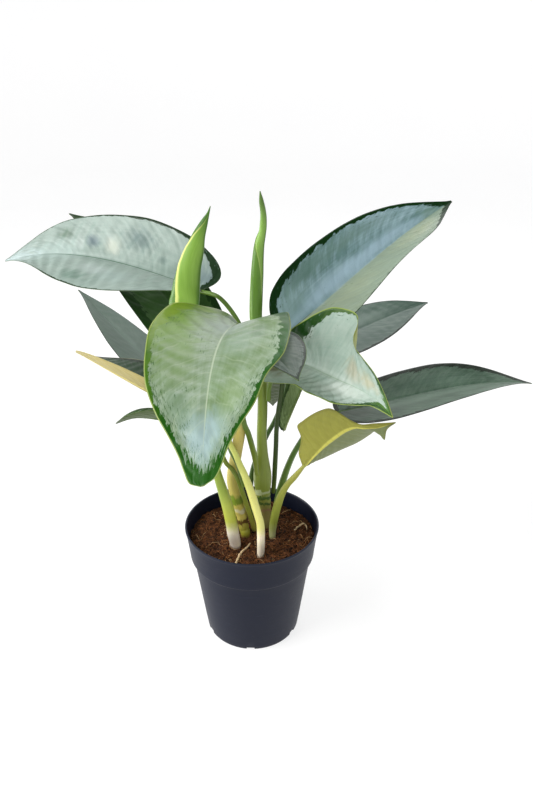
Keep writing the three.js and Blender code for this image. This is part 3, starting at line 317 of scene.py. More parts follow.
ROOTS = {
    'root_right': [[38.62, 5.7, 97.6, 0.7], [42.03, 10.18, 97.6, 0.8], [45.86, 12.99, 97.6, 0.8], [49.01, 11.42, 97.6, 0.7], 
        [50.11, 6.47, 97.6, 0.5]],
    'root_front': [[-12.95, -43.53, 97.6, 0.8], [-11.43, -35.18, 97.6, 1], [-8.74, -26.32, 97.6, 1], [-5.03, -19.33, 97.6, 0.9], 
        [-1.2, -13.61, 97.6, 0.7]],
}


KN = np.array([0, .02, .06, .13, .22, .34, .46, .58, .70, .80, .88, .94, .98, 1.0])


# ------------------------------------------------------------------ leaf maths
def bez(P, t):
    n = len(P) - 1
    t = np.asarray(t)[:, None]
    return sum(math.comb(n, i) * (1 - t) ** (n - i) * t ** i * P[i] for i in range(n + 1))


def frames(P, roll, NS=64):
    P = np.asarray(P, float)
    tt = np.linspace(0, 1, 257)
    X = bez(P, tt)
    S = np.r_[0, np.cumsum(np.linalg.norm(np.diff(X, axis=0), axis=1))]
    L = S[-1]
    u = np.linspace(0, 1, NS + 1)
    ti = np.interp(u * L, S, tt)
    M = bez(P, ti)
    T = bez((len(P) - 1) * np.diff(P, axis=0), ti)
    T /= np.linalg.norm(T, axis=1)[:, None]
    N = np.zeros_like(T)
    a = np.array([0, 0, 1.]) - T[0] * T[0, 2]
    N[0] = a / np.linalg.norm(a)
    for i in range(NS):
        v1 = M[i + 1] - M[i]
        c1 = v1 @ v1
        rL = N[i] - 2 / c1 * (v1 @ N[i]) * v1
        tL = T[i] - 2 / c1 * (v1 @ T[i]) * v1
        v2 = T[i + 1] - tL
        c2 = v2 @ v2
        N[i + 1] = rL if c2 < 1e-12 else rL - 2 / c2 * (v2 @ rL) * v2
    B = np.cross(N, T)
    r = np.radians(roll[0] + roll[1] * u + roll[2] * u * u)[:, None]
    return u, L, M, T, N * np.cos(r) + B * np.sin(r), B * np.cos(r) - N * np.sin(r)


def pchip(x, y, q):
    h = np.diff(x)
    d = np.diff(y) / h
    n = len(x)
    m = np.zeros(n)
    m[0], m[-1] = d[0], d[-1]
    for i in range(1, n - 1):
        if d[i - 1] * d[i] > 0:
            w1, w2 = 2 * h[i] + h[i - 1], h[i] + 2 * h[i - 1]
            m[i] = (w1 + w2) / (w1 / d[i - 1] + w2 / d[i])
    k = np.clip(np.searchsorted(x, q, side='right') - 1, 0, n - 2)
    t = (q - x[k]) / h[k]
    return ((1 + 2 * t) * (1 - t) ** 2 * y[k] + t * (1 - t) ** 2 * h[k] * m[k]
            + t * t * (3 - 2 * t) * y[k + 1] + t * t * (t - 1) * h[k] * m[k + 1])


def quad3(a, u):
    return a[0] * (1 - u) * (1 - 2 * u) + a[1] * 4 * u * (1 - u) + a[2] * u * (2 * u - 1)


def blade_surface(lf, fr, v, r, side):
    u, L, M, T, N, B = fr
    te = lf['W'] * pchip(KN, np.array(lf['fl'] if side > 0 else lf['fr']), v)
    q = v / .08
    beta = q * np.exp(1 - q)
    gam = np.sin(np.pi * np.clip(v, 0, 1)) * (1 - v) ** .3
    se = v - lf['lb'] * beta + lf['sw'] * gam
    s = v + (se - v) * r ** 1.3
    t = te * r
    sc = np.clip(s, 0, 1)
    ii = sc * (len(u) - 1)
    k = np.clip(ii.astype(int), 0, len(u) - 2)
    w = (ii - k)[..., None]
    lerp = lambda A: A[k] * (1 - w) + A[k + 1] * w
    Ms, Ts, Ns, Bs = lerp(M), lerp(T), lerp(N), lerp(B)
    Ms = Ms + Ts * ((s - sc) * L)[..., None]
    al = np.radians(quad3(lf['aL'] if side > 0 else lf['aR'], v))
    h = quad3(lf['kL'] if side > 0 else lf['kR'], v) / 1000. * t / 2
    sc_ = np.sinc(h / np.pi)
    return Ms + side * Bs * (t * np.cos(al + h) * sc_)[..., None] + Ns * (t * np.sin(al + h) * sc_)[..., None], te


def catmull(P, u):
    P = np.asarray(P, float)
    n = len(P) - 1
    Qp = np.vstack([2 * P[0] - P[1], P, 2 * P[-1] - P[-2]])
    u = np.asarray(u, float)
    k = np.clip(u.astype(int), 0, n - 1)
    t = (u - k)[:, None]
    a, b, c, d = Qp[k], Qp[k + 1], Qp[k + 2], Qp[k + 3]
    return .5 * (2 * b + (c - a) * t + (2 * a - 5 * b + 4 * c - d) * t * t + (3 * b - 3 * c + d - a) * t ** 3)


def snoise(x, y, z=0.0):
    return mnoise.noise(Vector((x, y, z)))


# ------------------------------------------------------------------ mesh helpers
def mesh_object(name, verts_mm, faces, uvs=None, uvs2=None, smooth=True):
    me = bpy.data.meshes.new(name)
    me.from_pydata((np.asarray(verts_mm) * MM).tolist(), [], faces if isinstance(faces, list) else faces.tolist())
    me.update()
    idx = np.empty(len(me.loops), dtype=np.int32)
    me.loops.foreach_get('vertex_index', idx)
    for nm, data in (('leaf', uvs), ('extra', uvs2)):
        if data is not None:
            lay = me.uv_layers.new(name=nm)
            lay.data.foreach_set('uv', np.asarray(data, np.float32)[idx].ravel())
    if smooth:
        me.polygons.foreach_set('use_smooth', [True] * len(me.polygons))
    me.update()
    ob = bpy.data.objects.new(name, me)
    bpy.context.collection.objects.link(ob)
    return ob


def add_piece(ob, node, mat):
    ob.data.materials.append(mat)
    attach(ob, "root")
    if node:
        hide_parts(node)
    return ob


# a leaf grid (rows along the midrib, columns left edge .. midrib .. right edge) made into a thin closed blade
def blade_mesh(name, G, V, R, thick, edge_mm, seed=0, vein=0.35, quilt=0.25, wave=0.0, keel=1.3, crease=None, up=-1):
    nr, nc = G.shape[:2]
    du = np.gradient(G, axis=0)
    dv = np.gradient(G, axis=1)
    Nn = np.cross(du, dv)
    Nn /= up * np.maximum(np.linalg.norm(Nn, axis=2), 1e-9)[..., None]
    aR = np.abs(R)
    # side veins: gentle quilting that runs with the veins and fades to the margin and the tip
    ph = (V + .07 * aR ** 1.3)
    env = np.clip(aR * 6, 0, 1) * np.clip((1 - aR) * 4, 0, 1) * np.clip(V * 12, 0, 1) * np.clip((1 - V) * 5, 0, 1)
    d = np.zeros_like(V)
    for i in range(nr):
        for j in range(nc):
            a = ph[i, j]
            d[i, j] = quilt * (math.sin(2 * math.pi * (a * 15 + .35 * snoise(a * 6, R[i, j] * 1.3, seed))) * .6
                               + 1.6 * snoise(a * 5 + seed, R[i, j] * 2.2, seed * 1.7)) * env[i, j]
            if wave:
                d[i, j] += wave * aR[i, j] ** 3 * snoise(V[i, j] * 7 + seed, 1.5 if R[i, j] > 0 else -1.5, seed) * min(1, V[i, j] * 8) * min(1, (1 - V[i, j]) * 6)
    # groove over the midrib
    d -= .35 * np.exp(-(aR / .03) ** 2) * np.clip((1 - V) * 3, 0, 1)
    top = G + Nn * d[..., None]
    tk = thick * (.35 + .65 * np.clip((1 - aR) * 5, 0, 1))
    kl = keel * np.exp(-(aR / .045) ** 2) * np.clip((1 - V) * 1.6, .12, 1)
    bot = top - Nn * (tk + kl)[..., None]
    n = nr * nc
    Vt = np.vstack([top.reshape(-1, 3), bot.reshape(-1, 3)])
    I = np.arange(n).reshape(nr, nc)
    a, b, c, e = I[:-1, :-1].ravel(), I[1:, :-1].ravel(), I[1:, 1:].ravel(), I[:-1, 1:].ravel()
    F = np.vstack([np.c_[a, b, c, e], np.c_[a, e, c, b] + n])
    rim = list(I[0, :]) + list(I[1:, -1]) + list(I[-1, -2::-1]) + list(I[-2:0:-1, 0])
    rim = np.array(rim)
    nx = np.roll(rim, -1)
    F = np.vstack([F, np.c_[rim, nx, nx + n, rim + n]])
    # orientation
    vol = np.einsum('ij,ij->i', Vt[F[:, 0]], np.cross(Vt[F[:, 1]], Vt[F[:, 2]])).sum() + np.einsum('ij,ij->i', Vt[F[:, 0]], np.cross(Vt[F[:, 2]], Vt[F[:, 3]])).sum()
    if vol < 0:
        F = F[:, ::-1]
    uv = np.stack([V.ravel(), .5 + .5 * R.ravel()], 1)
    uv = np.vstack([uv, uv])
    side = np.r_[np.ones(n), np.zeros(n)]
    ex = np.c_[np.r_[edge_mm.ravel(), edge_mm.ravel()] * .01, side]
    return mesh_object(name, Vt, F, uv, ex)


def v_rows(n):
    x = np.linspace(0, 1, n)
    return .002 + .9965 * (x - .16 * np.sin(2 * np.pi * x) / (2 * np.pi) * 2.2 * .8)


NV, NR = ((130, 26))


def fitted_blade(name, lf, thick=.55, **kw):
    fr = frames(lf['mid'], lf['roll'])
    v = v_rows(NV)
    r = np.linspace(0, 1, NR) ** .92
    Vg, Rg = np.meshgrid(v, r, indexing='ij')
    GL, teL = blade_surface(lf, fr, Vg, Rg, 1)
    GR, teR = blade_surface(lf, fr, Vg, Rg, -1)
    G = np.concatenate([GL[:, ::-1], GR[:, 1:]], axis=1)
    V = np.concatenate([Vg[:, ::-1], Vg[:, 1:]], axis=1)
    R = np.concatenate([Rg[:, ::-1], -Rg[:, 1:]], axis=1)
    E = np.concatenate([((1 - Rg) * np.maximum(teL, .3))[:, ::-1], ((1 - Rg) * np.maximum(teR, .3))[:, 1:]], axis=1)
    # distance to the tip counts as distance to the edge as well
    E = np.minimum(E, (1 - V) * fr[1] * .9 + .2)
    return blade_mesh(name, G, V, R, thick, E, **kw)


def drawn_blade(name, b, thick=.55, bulge=(.05, .05), **kw):
    v = v_rows(NV)
    u = .12 + v * (15 - .2)
    u = np.clip(u, .12, 14.92)
    M, Lf, Rt = catmull(b['mid'], u), catmull(b['left'], u), catmull(b['right'], u)
    r = np.linspace(0, 1, NR) ** .92
    cols, Rs, Es = [], [], []
    T = np.gradient(M, axis=0)
    for s, E, bg in ((1, Lf, bulge[0]), (-1, Rt, bulge[1])):
        D = E - M
        W = np.linalg.norm(D, axis=1)
        n = np.cross(D * s, T)
        n /= np.maximum(np.linalg.norm(n, axis=1), 1e-9)[:, None]
        g = M[:, None] + D[:, None] * r[None, :, None] + n[:, None] * (bg * W[:, None] * 4 * r[None] * (1 - r[None]))[..., None]
        e = (1 - r[None]) * W[:, None]
        if s > 0:
            cols.append(g[:, ::-1]); Rs.append(np.repeat(r[None, ::-1], NV, 0)); Es.append(e[:, ::-1])
        else:
            cols.append(g[:, 1:]); Rs.append(-np.repeat(r[None, 1:], NV, 0)); Es.append(e[:, 1:])
    G, R, E = np.concatenate(cols, 1), np.concatenate(Rs, 1), np.concatenate(Es, 1)
    V = np.repeat(v[:, None], G.shape[1], 1)
    tipd = np.linalg.norm(G - M[-1][None, None], axis=2)
    E = np.minimum(E, tipd + .2)
    return blade_mesh(name, G, V, R, thick, E, **kw)


# ------------------------------------------------------------------ node helpers
class NT:
    def __init__(self, name):
        self.mat = bpy.data.materials.new(name)
        self.mat.use_nodes = True
        self.t = self.mat.node_tree
        self.t.nodes.clear()
        self.out = self.n('ShaderNodeOutputMaterial')

    def n(self, kind, **kw):
        nd = self.t.nodes.new(kind)
        for k, v in kw.items():
            setattr(nd, k, v)
        return nd

    def link(self, a, b):
        self.t.links.new(a, b)

    def val(self, sock, x):
        if hasattr(x, 'is_linked') or isinstance(x, bpy.types.NodeSocket):
            self.link(x, sock)
        else:
            if isinstance(x, (tuple, list)) and len(x) == 3 and sock.type == 'RGBA':
                x = (*x, 1)
            sock.default_value = x

    def math(self, op, a, b=0.0, c=None, clamp=False):
        m = self.n('ShaderNodeMath', operation=op, use_clamp=clamp)
        self.val(m.inputs[0], a)
        self.val(m.inputs[1], b)
        if c is not None:
            self.val(m.inputs[2], c)
        return m.outputs[0]

    def ss(self, x, lo, hi):
        m = self.n('ShaderNodeMapRange', interpolation_type='SMOOTHSTEP')
        self.val(m.inputs['Value'], x)
        self.val(m.inputs['From Min'], lo)
        self.val(m.inputs['From Max'], hi)
        return m.outputs['Result']

    def mixc(self, f, a, b, mode='MIX'):
        m = self.n('ShaderNodeMix', data_type='RGBA', blend_type=mode)
        m.clamp_factor = True
        self.val(m.inputs[0], f)
        self.val(m.inputs[6], a)
        self.val(m.inputs[7], b)
        return m.outputs[2]

    def vec(self, x, y, z=0.0):
        c = self.n('ShaderNodeCombineXYZ')
        self.val(c.inputs[0], x)
        self.val(c.inputs[1], y)
        self.val(c.inputs[2], z)
        return c.outputs[0]

    def noise(self, v, scale, detail=2.0, rough=.5, dist=0.0, kind='3D'):
        m = self.n('ShaderNodeTexNoise', noise_dimensions=kind)
        self.link(v, m.inputs['Vector'])
        m.inputs['Scale'].default_value = scale
        m.inputs['Detail'].default_value = detail
        m.inputs['Roughness'].default_value = rough
        m.inputs['Distortion'].default_value = dist
        return m.outputs['Fac']

    def ramp(self, x, pts, top):
        """value along x from a short list of (position, value) pairs"""
        nd = self.n('ShaderNodeValToRGB')
        cr = nd.color_ramp
        cr.interpolation = 'LINEAR'
        pts = sorted(pts)
        cr.elements[0].position, cr.elements[1].position = pts[0][0], pts[-1][0]
        for p in pts[1:-1]:
            cr.elements.new(p[0])
        for e, p in zip(cr.elements, pts):
            v = p[1] / top
            e.color = (v, v, v, 1)
        self.link(x, nd.inputs[0])
        return self.math('MULTIPLY', nd.outputs[0], top)

    def uv(self, name):
        u = self.n('ShaderNodeUVMap', uv_map=name)
        s = self.n('ShaderNodeSeparateXYZ')
        self.link(u.outputs[0], s.inputs[0])
        return s.outputs[0], s.outputs[1]

    def obj(self):
        return self.n('ShaderNodeTexCoord').outputs['Object']

    def bsdf(self, color, rough, normal=None, **kw):
        b = self.n('ShaderNodeBsdfPrincipled')
        self.val(b.inputs['Base Color'], color)
        self.val(b.inputs['Roughness'], rough)
        if normal is not None:
            self.link(normal, b.inputs['Normal'])
        for k, v in kw.items():
            b.inputs[k].default_value = v
        self.link(b.outputs[0], self.out.inputs[0])
        return b

    def bump(self, h, strength, dist, normal=None):
        m = self.n('ShaderNodeBump')
        self.link(h, m.inputs['Height'])
        m.inputs['Strength'].default_value = strength
        m.inputs['Distance'].default_value = dist
        if normal is not None:
            self.link(normal, m.inputs['Normal'])
        return m.outputs[0]


def srgb(r, g, b):
    f = lambda c: (c / 255 / 12.92) if c / 255 <= .04045 else ((c / 255 + .055) / 1.055) ** 2.4
    return (f(r), f(g), f(b))


def leaf_material(name, silver, silver2, green, under, under2=None, wp=((0, 3), (1, 3)), wn=((0, 3), (1, 3)), ragged=2.5, patch=.5, speck=.5,
                  right=None, rightside=-1, midrib=None, midrib_w=.022, tint_and_painted_light_zones=(), gzones=(), rough=.38, coat=.25, seed=0.0, edge=None, edge_w=.7,
                  vein_dark=.25, vein_light=None, spec=.5, vein_n=15.0, translucent=.08, relief=.42, tip_streak=6.0, under_rib=None):
    """silver centre inside a dark margin whose width is given along both sides, ragged and feathered border, specks,
    soft zones of tint (on some leaves painted highlights and painted shade), midrib line, own underside
    """
    m = NT(name)
    V, Rr = m.uv('leaf')
    E100, side = m.uv('extra')
    E = m.math('MULTIPLY', E100, 100.0)
    r = m.math('MULTIPLY', m.math('SUBTRACT', Rr, .5), 2.0)         # -1 .. 1
    ar = m.math('ABSOLUTE', r)
    sgn = m.ss(r, -.012, .012)
    q = m.math('SUBTRACT', V, m.math('MULTIPLY', m.math('POWER', ar, 1.3), .16))   # constant along a side vein
    n_f = m.noise(m.vec(m.math('MULTIPLY_ADD', q, 48.0, seed), m.math('MULTIPLY', r, 8.0), seed), 1.0, 4.0, .62)
    n_m = m.noise(m.vec(m.math('MULTIPLY_ADD', q, 16.0, seed + 3.1), m.math('MULTIPLY', r, 3.4), seed), 1.0, 3.0, .55)
    n_b = m.noise(m.vec(m.math('MULTIPLY_ADD', V, 4.2, seed + 7.7), m.math('MULTIPLY', r, 1.3), seed), 1.0, 2.0, .5)
    st = m.noise(m.vec(m.math('MULTIPLY_ADD', q, 34.0, seed + 9.0), m.math('MULTIPLY', r, 2.4), seed), 1.0, 4.0, .62)
    lw = m.noise(m.vec(m.math('MULTIPLY_ADD', V, 3.0, seed + 2.0), m.math('MULTIPLY', r, 16.0), seed), 1.0, 3.0, .6)
    # border width in mm, given along the leaf for each side
    width = m.math('ADD', m.math('MULTIPLY', sgn, m.ramp(V, wp, 20.0)), m.math('MULTIPLY', m.math('SUBTRACT', 1.0, sgn), m.ramp(V, wn, 20.0)))
    amp = m.math('ADD', m.math('MULTIPLY', width, .55), ragged * .35)
    wob = m.math('ADD', m.math('MULTIPLY', m.math('SUBTRACT', n_f, .5), 2.2), m.math('MULTIPLY', m.math('SUBTRACT', n_m, .5), 1.8))
    Wd = m.math('ADD', width, m.math('MULTIPLY', wob, amp))
    Wd = m.math('ADD', Wd, m.math('MULTIPLY', m.math('MULTIPLY', m.math('SUBTRACT', lw, .5), m.ss(V, .80, .93)), tip_streak))
    mask = m.ss(m.math('SUBTRACT', E, Wd), -.22, .30)               # 1 = silver
    # specks and short dashes, dense near the border
    sp = m.noise(m.vec(m.math('MULTIPLY_ADD', V, 34.0, seed), m.math('MULTIPLY', r, 34.0), seed + 1.0), 1.0, 4.0, .68)
    near = m.math('SUBTRACT', 1.0, m.ss(m.math('SUBTRACT', E, width), .5, 10.0))
    thr = m.math('SUBTRACT', .73 - .04 * speck, m.math('MULTIPLY', near, .10 * min(speck, 1.0)))
    thr = m.math('SUBTRACT', thr, m.math('MULTIPLY', m.math('SUBTRACT', n_b, .5), .18 * speck))
    speckm = m.ss(sp, thr, m.math('ADD', thr, .03))
    tone = m.math('ADD', m.math('MULTIPLY', m.math('SUBTRACT', st, .5), 1.5 * patch), m.math('MULTIPLY', m.math('SUBTRACT', n_b, .5), 1.6 * patch))
    tone = m.math('ADD', tone, m.math('MULTIPLY', m.math('SUBTRACT', lw, .5), .9 * patch))
    tone = m.math('ADD', tone, .5, clamp=True)
    col = m.mixc(tone, silver2, silver)
    if right is not None:
        f = m.math('SUBTRACT', 1.0, sgn) if rightside < 0 else sgn
        col = m.mixc(m.math('MULTIPLY', f, .92), col, m.mixc(tone, [c * .82 for c in right], right))

    def zone(c0, z):
        vc, rc, dv, dr, zc, k = z
        a = m.math('DIVIDE', m.math('SUBTRACT', V, vc), dv)
        b = m.math('DIVIDE', m.math('SUBTRACT', r, rc), dr)
        d = m.math('SQRT', m.math('ADD', m.math('MULTIPLY', a, a), m.math('MULTIPLY', b, b)))
        d = m.math('ADD', d, m.math('MULTIPLY', m.math('SUBTRACT', st, .5), 1.1))
        d = m.math('ADD', d, m.math('MULTIPLY', m.math('SUBTRACT', n_m, .5), .9))
        f = m.math('SUBTRACT', 1.0, m.ss(d, .15, 1.05))
        return m.mixc(m.math('MULTIPLY', f, k), c0, zc)
    # soft zones of tint; on blade_01 and blade_06 some of them are painted highlights and painted shade
    for z in tint_and_painted_light_zones:
        col = zone(col, z)
    col = m.mixc(m.math('MULTIPLY', speckm, .7), col, green)
    # side veins
    vn = m.math('ABSOLUTE', m.math('SUBTRACT', m.math('FRACT', m.math('ADD', m.math('MULTIPLY', q, vein_n), m.math('MULTIPLY', n_b, 1.1))), .5))
    vl = m.math('SUBTRACT', 1.0, m.ss(vn, .0, .055))
    vf = m.math('MULTIPLY', vl, m.ss(n_m, .35, .6))
    if vein_light is not None:
        col = m.mixc(m.math('MULTIPLY', vf, .26), col, vein_light)
    else:
        col = m.mixc(m.math('MULTIPLY', vf, vein_dark * .5), col, [c * .6 for c in silver2])
    gcol = m.mixc(m.math('ADD', m.math('MULTIPLY', n_m, .6), m.math('MULTIPLY', lw, .4)), [c * .55 for c in green], [min(1, c * 1.45) for c in green])
    for z in gzones:
        gcol = zone(gcol, z)
    # pale flecks of silver inside the green border
    fl = m.ss(m.noise(m.vec(m.math('MULTIPLY_ADD', q, 70.0, seed + 5.0), m.math('MULTIPLY', r, 14.0), seed + 6.0), 1.0, 2.0, .6), .66, .70)
    gcol = m.mixc(m.math('MULTIPLY', fl, .5), gcol, silver2)
    col = m.mixc(mask, gcol, col)
    if midrib is not None:
        fm = m.math('SUBTRACT', 1.0, m.ss(ar, midrib_w * .3, midrib_w))
        fm = m.math('MULTIPLY', fm, m.math('SUBTRACT', 1.0, m.ss(V, .7, .98)))
        col = m.mixc(m.math('MULTIPLY', fm, .85), col, midrib)
    if edge is not None:
        fe = m.math('SUBTRACT', 1.0, m.ss(E, edge_w * .4, edge_w))
        col = m.mixc(m.math('MULTIPLY', fe, .85), col, edge)
    # underside
    un = m.noise(m.vec(m.math('MULTIPLY_ADD', q, 26.0, seed), m.math('MULTIPLY', r, 2.0), seed + 4.0), 1.0, 3.0, .6)
    uc = m.mixc(un, [c * .72 for c in under], under)
    if under2 is not None:
        uc = m.mixc(m.math('MULTIPLY', m.math('SUBTRACT', 1.0, sgn), .9), uc, m.mixc(un, [c * .75 for c in under2], under2))
    ue = m.math('MULTIPLY', m.math('SUBTRACT', 1.0, m.ss(m.math('SUBTRACT', E, m.math('MULTIPLY', n_m, 2.5)), .6, 2.0)), .35)
    uc = m.mixc(ue, uc, [c * .55 for c in under])
    uk = m.math('SUBTRACT', 1.0, m.ss(ar, .03, .07))
    uc = m.mixc(m.math('MULTIPLY', uk, .85), uc, under_rib or [min(1, c * 1.45) for c in under])
    uc = m.mixc(m.math('MULTIPLY', vl, .4), uc, [c * .68 for c in under])
    sd = m.ss(side, .45, .55)
    col = m.mixc(sd, uc, col)
    # relief: side veins and cell grain
    gr = m.noise(m.obj(), 2600.0, 2.0, .6)
    bmp = m.bump(m.math('ADD', m.math('MULTIPLY', m.ss(vn, .0, .3), .9), m.math('MULTIPLY', st, 1.1)), relief, .0005)
    bmp = m.bump(gr, .12, .00012, bmp)
    rg = m.math('ADD', m.math('MULTIPLY', n_m, .16), rough - .08)
    rg = m.math('ADD', rg, m.math('MULTIPLY', m.math('SUBTRACT', 1.0, sd), .15))
    b = m.bsdf(col, rg, bmp, **{'Specular IOR Level': spec * .36, 'Coat Weight': coat * .2, 'Coat Roughness': .2})
    # thin leaf: a little light passes through
    tr = m.n('ShaderNodeBsdfTranslucent')
    m.link(m.mixc(.55, col, srgb(150, 190, 70)), tr.inputs['Color'])
    mx = m.n('ShaderNodeMixShader')
    mx.inputs[0].default_value = translucent
    m.link(b.outputs[0], mx.inputs[1])
    m.link(tr.outputs[0], mx.inputs[2])
    m.link(mx.outputs[0], m.out.inputs[0])
    return m.mat


def tube_mesh(name, rows, sides=28, per=10, flat=None, bumps=None, caps=True):
    """rows x,y,z,radius (mm). UV u = height along the stem 0..1, v = round it. extra = (height in mm / 100, radius / 100)"""
    rows = np.asarray(rows, float)
    n = len(rows) - 1
    u = np.linspace(0, n, n * per + 1)
    P = catmull(rows, u)
    R = np.maximum(P[:, 3], .05)
    P = P[:, :3]
    S = np.r_[0, np.cumsum(np.linalg.norm(np.diff(P, axis=0), axis=1))]
    T = np.gradient(P, axis=0)
    T /= np.linalg.norm(T, axis=1)[:, None]
    N = np.zeros_like(T)
    y = np.array([0, -1., 0])
    a = y - T[0] * (y @ T[0])
    N[0] = a / np.linalg.norm(a)
    for i in range(len(P) - 1):
        b = N[i] - T[i + 1] * (N[i] @ T[i + 1])
        N[i + 1] = b / np.linalg.norm(b)
    B = np.cross(T, N)
    th = np.linspace(0, 2 * np.pi, sides, endpoint=False)
    rr = np.repeat(R[:, None], sides, 1)
    if bumps is not None:
        rr = rr + bumps(P, S, th)
    G = P[:, None] + rr[..., None] * (np.cos(th)[None, :, None] * N[:, None] + np.sin(th)[None, :, None] * B[:, None])
    m = len(P)
    I = np.arange(m * sides).reshape(m, sides)
    J = np.roll(I, -1, axis=1)
    F = np.stack([I[:-1], J[:-1], J[1:], I[1:]], -1).reshape(-1, 4).tolist()
    Vt = G.reshape(-1, 3)
    uv = np.stack([np.repeat(S / S[-1], sides), np.tile(th / (2 * np.pi), m)], 1)
    ex = np.stack([np.repeat(P[:, 2] / 100, sides), np.repeat(R / 100, sides)], 1)
    # domed ends
    for end in (0, 1):
        ring = I[0] if end == 0 else I[-1]
        c = P[0] if end == 0 else P[-1]
        d = -T[0] if end == 0 else T[-1]
        rad = R[0] if end == 0 else R[-1]
        prev = ring
        for k in range(1, 4):
            f = math.cos(k * math.pi / 8)
            hgt = math.sin(k * math.pi / 8) * rad * .55
            base = len(Vt)
            ringv = c + (Vt[ring] - c) * f + d * hgt
            Vt = np.vstack([Vt, ringv])
            uv = np.vstack([uv, uv[ring]])
            ex = np.vstack([ex, ex[ring]])
            cur = np.arange(base, base + sides)
            pj, cj = np.roll(prev, -1), np.roll(cur, -1)
            q4 = np.stack([prev, cur, cj, pj], -1) if end == 0 else np.stack([prev, pj, cj, cur], -1)
            F += q4.tolist()
            prev = cur
        F.append(prev.tolist() if end == 0 else prev[::-1].tolist())
    # outward faces
    ob = mesh_object(name, Vt, F, uv, ex)
    return ob


def stem_material(name, low, mid, high, z0=.098, z1=.118, z2=.20, rough=.4, dark=.0, coat=.15, streak=.5, seed=0.0, node_z=None, node_col=None):
    """white or pale foot, then yellow-green, then the stalk's own green; lengthwise fibres"""
    m = NT(name)
    ob = m.obj()
    s = m.n('ShaderNodeSeparateXYZ')
    m.link(ob, s.inputs[0])
    z = s.outputs[2]
    U, Vv = m.uv('leaf')
    nz = m.noise(ob, 110.0, 3.0, .6)
    zz = m.math('ADD', z, m.math('MULTIPLY', m.math('SUBTRACT', nz, .5), .008))
    col = m.mixc(m.ss(zz, z0, z1), low, mid)
    col = m.mixc(m.ss(zz, z1, z2), col, high)
    fib = m.noise(m.vec(m.math('MULTIPLY', U, 3.0), m.math('MULTIPLY_ADD', Vv, 46.0, seed), seed), 1.0, 3.0, .6)
    col = m.mixc(m.math('MULTIPLY', m.ss(fib, .45, .75), .45 * streak), col, [c * .55 for c in high])
    bl = m.noise(ob, 45.0, 3.0, .6)
    col = m.mixc(m.math('MULTIPLY', m.ss(bl, .5, .75), .3), col, [min(1, c * 1.25) for c in mid])
    spk = m.noise(ob, 900.0, 1.0, .5)
    col = m.mixc(m.math('MULTIPLY', m.ss(spk, .70, .76), .5), col, srgb(120, 88, 40))
    if dark:
        col = m.mixc(dark, col, srgb(38, 58, 24))
    if node_z is not None:
        for zc, w, cc in zip(node_z[0], node_z[1], node_col):
            zq = m.math('ADD', z, m.math('MULTIPLY', m.math('SUBTRACT', m.noise(m.vec(m.math('MULTIPLY', Vv, 3.0), m.math('MULTIPLY', z, 90.0), zc * 900), 1.0, 3.0, .6), .5), .016))
            f = m.math('SUBTRACT', 1.0, m.ss(m.math('ABSOLUTE', m.math('SUBTRACT', zq, zc)), w * .5, w * 1.05))
            col = m.mixc(m.math('MULTIPLY', f, .92), col, m.mixc(bl, [c * .6 for c in cc], [min(1, c * 1.25) for c in cc]))
    # soil stain where it enters the mix
    st = m.math('SUBTRACT', 1.0, m.ss(m.math('ADD', z, m.math('MULTIPLY', m.math('SUBTRACT', m.noise(ob, 420.0, 3.0, .7), .5), .006)), .0955, .0985))
    col = m.mixc(m.math('MULTIPLY', st, .75), col, srgb(92, 62, 40))
    bmp = m.bump(fib, .25, .0003)
    bmp = m.bump(m.noise(ob, 1500.0, 2.0, .6), .1, .0002, bmp)
    rg = m.math('ADD', m.math('MULTIPLY', fib, .14), rough - .07)
    m.bsdf(col, rg, bmp, **{'Specular IOR Level': .28, 'Coat Weight': coat * .4, 'Coat Roughness': .25, 'Subsurface Weight': .06, 'Subsurface Radius': (.004, .003, .001), 'Subsurface Scale': .5})
    return m.mat

# ------------------------------------------------------------------ light levels
WORLD = .12
EXPOSURE = 0.0
LIGHTS = [
    ("key", (-1.1, -.6, 1.5), (0, 0, .2), .9, 23.5, (1.0, .995, .98)),
    ("side", (-1.3, .15, .35), (0, 0, .08), .8, 12.0, (.97, .985, 1.0)),
    ("fill", (1.3, -1.0, 1.0), (0, 0, .2), 1.4, 2.0, (.95, .97, 1.0)),
    ("back", (.3, 1.4, 1.6), (0, 0, .2), 1.2, 10.5, (.98, .99, 1.0)),
]

# ------------------------------------------------------------------ camera, light, floor
cam_d = bpy.data.cameras.new("camera")
cam_d.sensor_width = 36.0
cam_d.sensor_fit = 'AUTO'
cam_d.lens = 28.8
cam_d.clip_start = .01
cam = bpy.data.objects.new("camera", cam_d)
cam.location = (.013, -.4785, .4475)
cam.rotation_euler = (math.radians(65.5), 0, 0)
bpy.context.collection.objects.link(cam)
bpy.context.scene.camera = cam

w = bpy.data.worlds.new("studio")
w.use_nodes = True
bg = w.node_tree.nodes['Background']
bg.inputs[0].default_value = (1, 1, 1, 1)
bg.inputs[1].default_value = WORLD
bpy.context.scene.world = w


def area(name, loc, target, size, power, color=(1, 1, 1), size_y=None):
    d = bpy.data.lights.new(name, 'AREA')
    d.energy = power
    d.color = color
    d.size = size
    if size_y:
        d.shape = 'RECTANGLE'
        d.size_y = size_y
    o = bpy.data.objects.new(name, d)
    o.location = loc
    o.rotation_euler = (Vector(target) - Vector(loc)).to_track_quat('-Z', 'Y').to_euler()
    bpy.context.collection.objects.link(o)
    return o


for a in LIGHTS:
    area(*a)

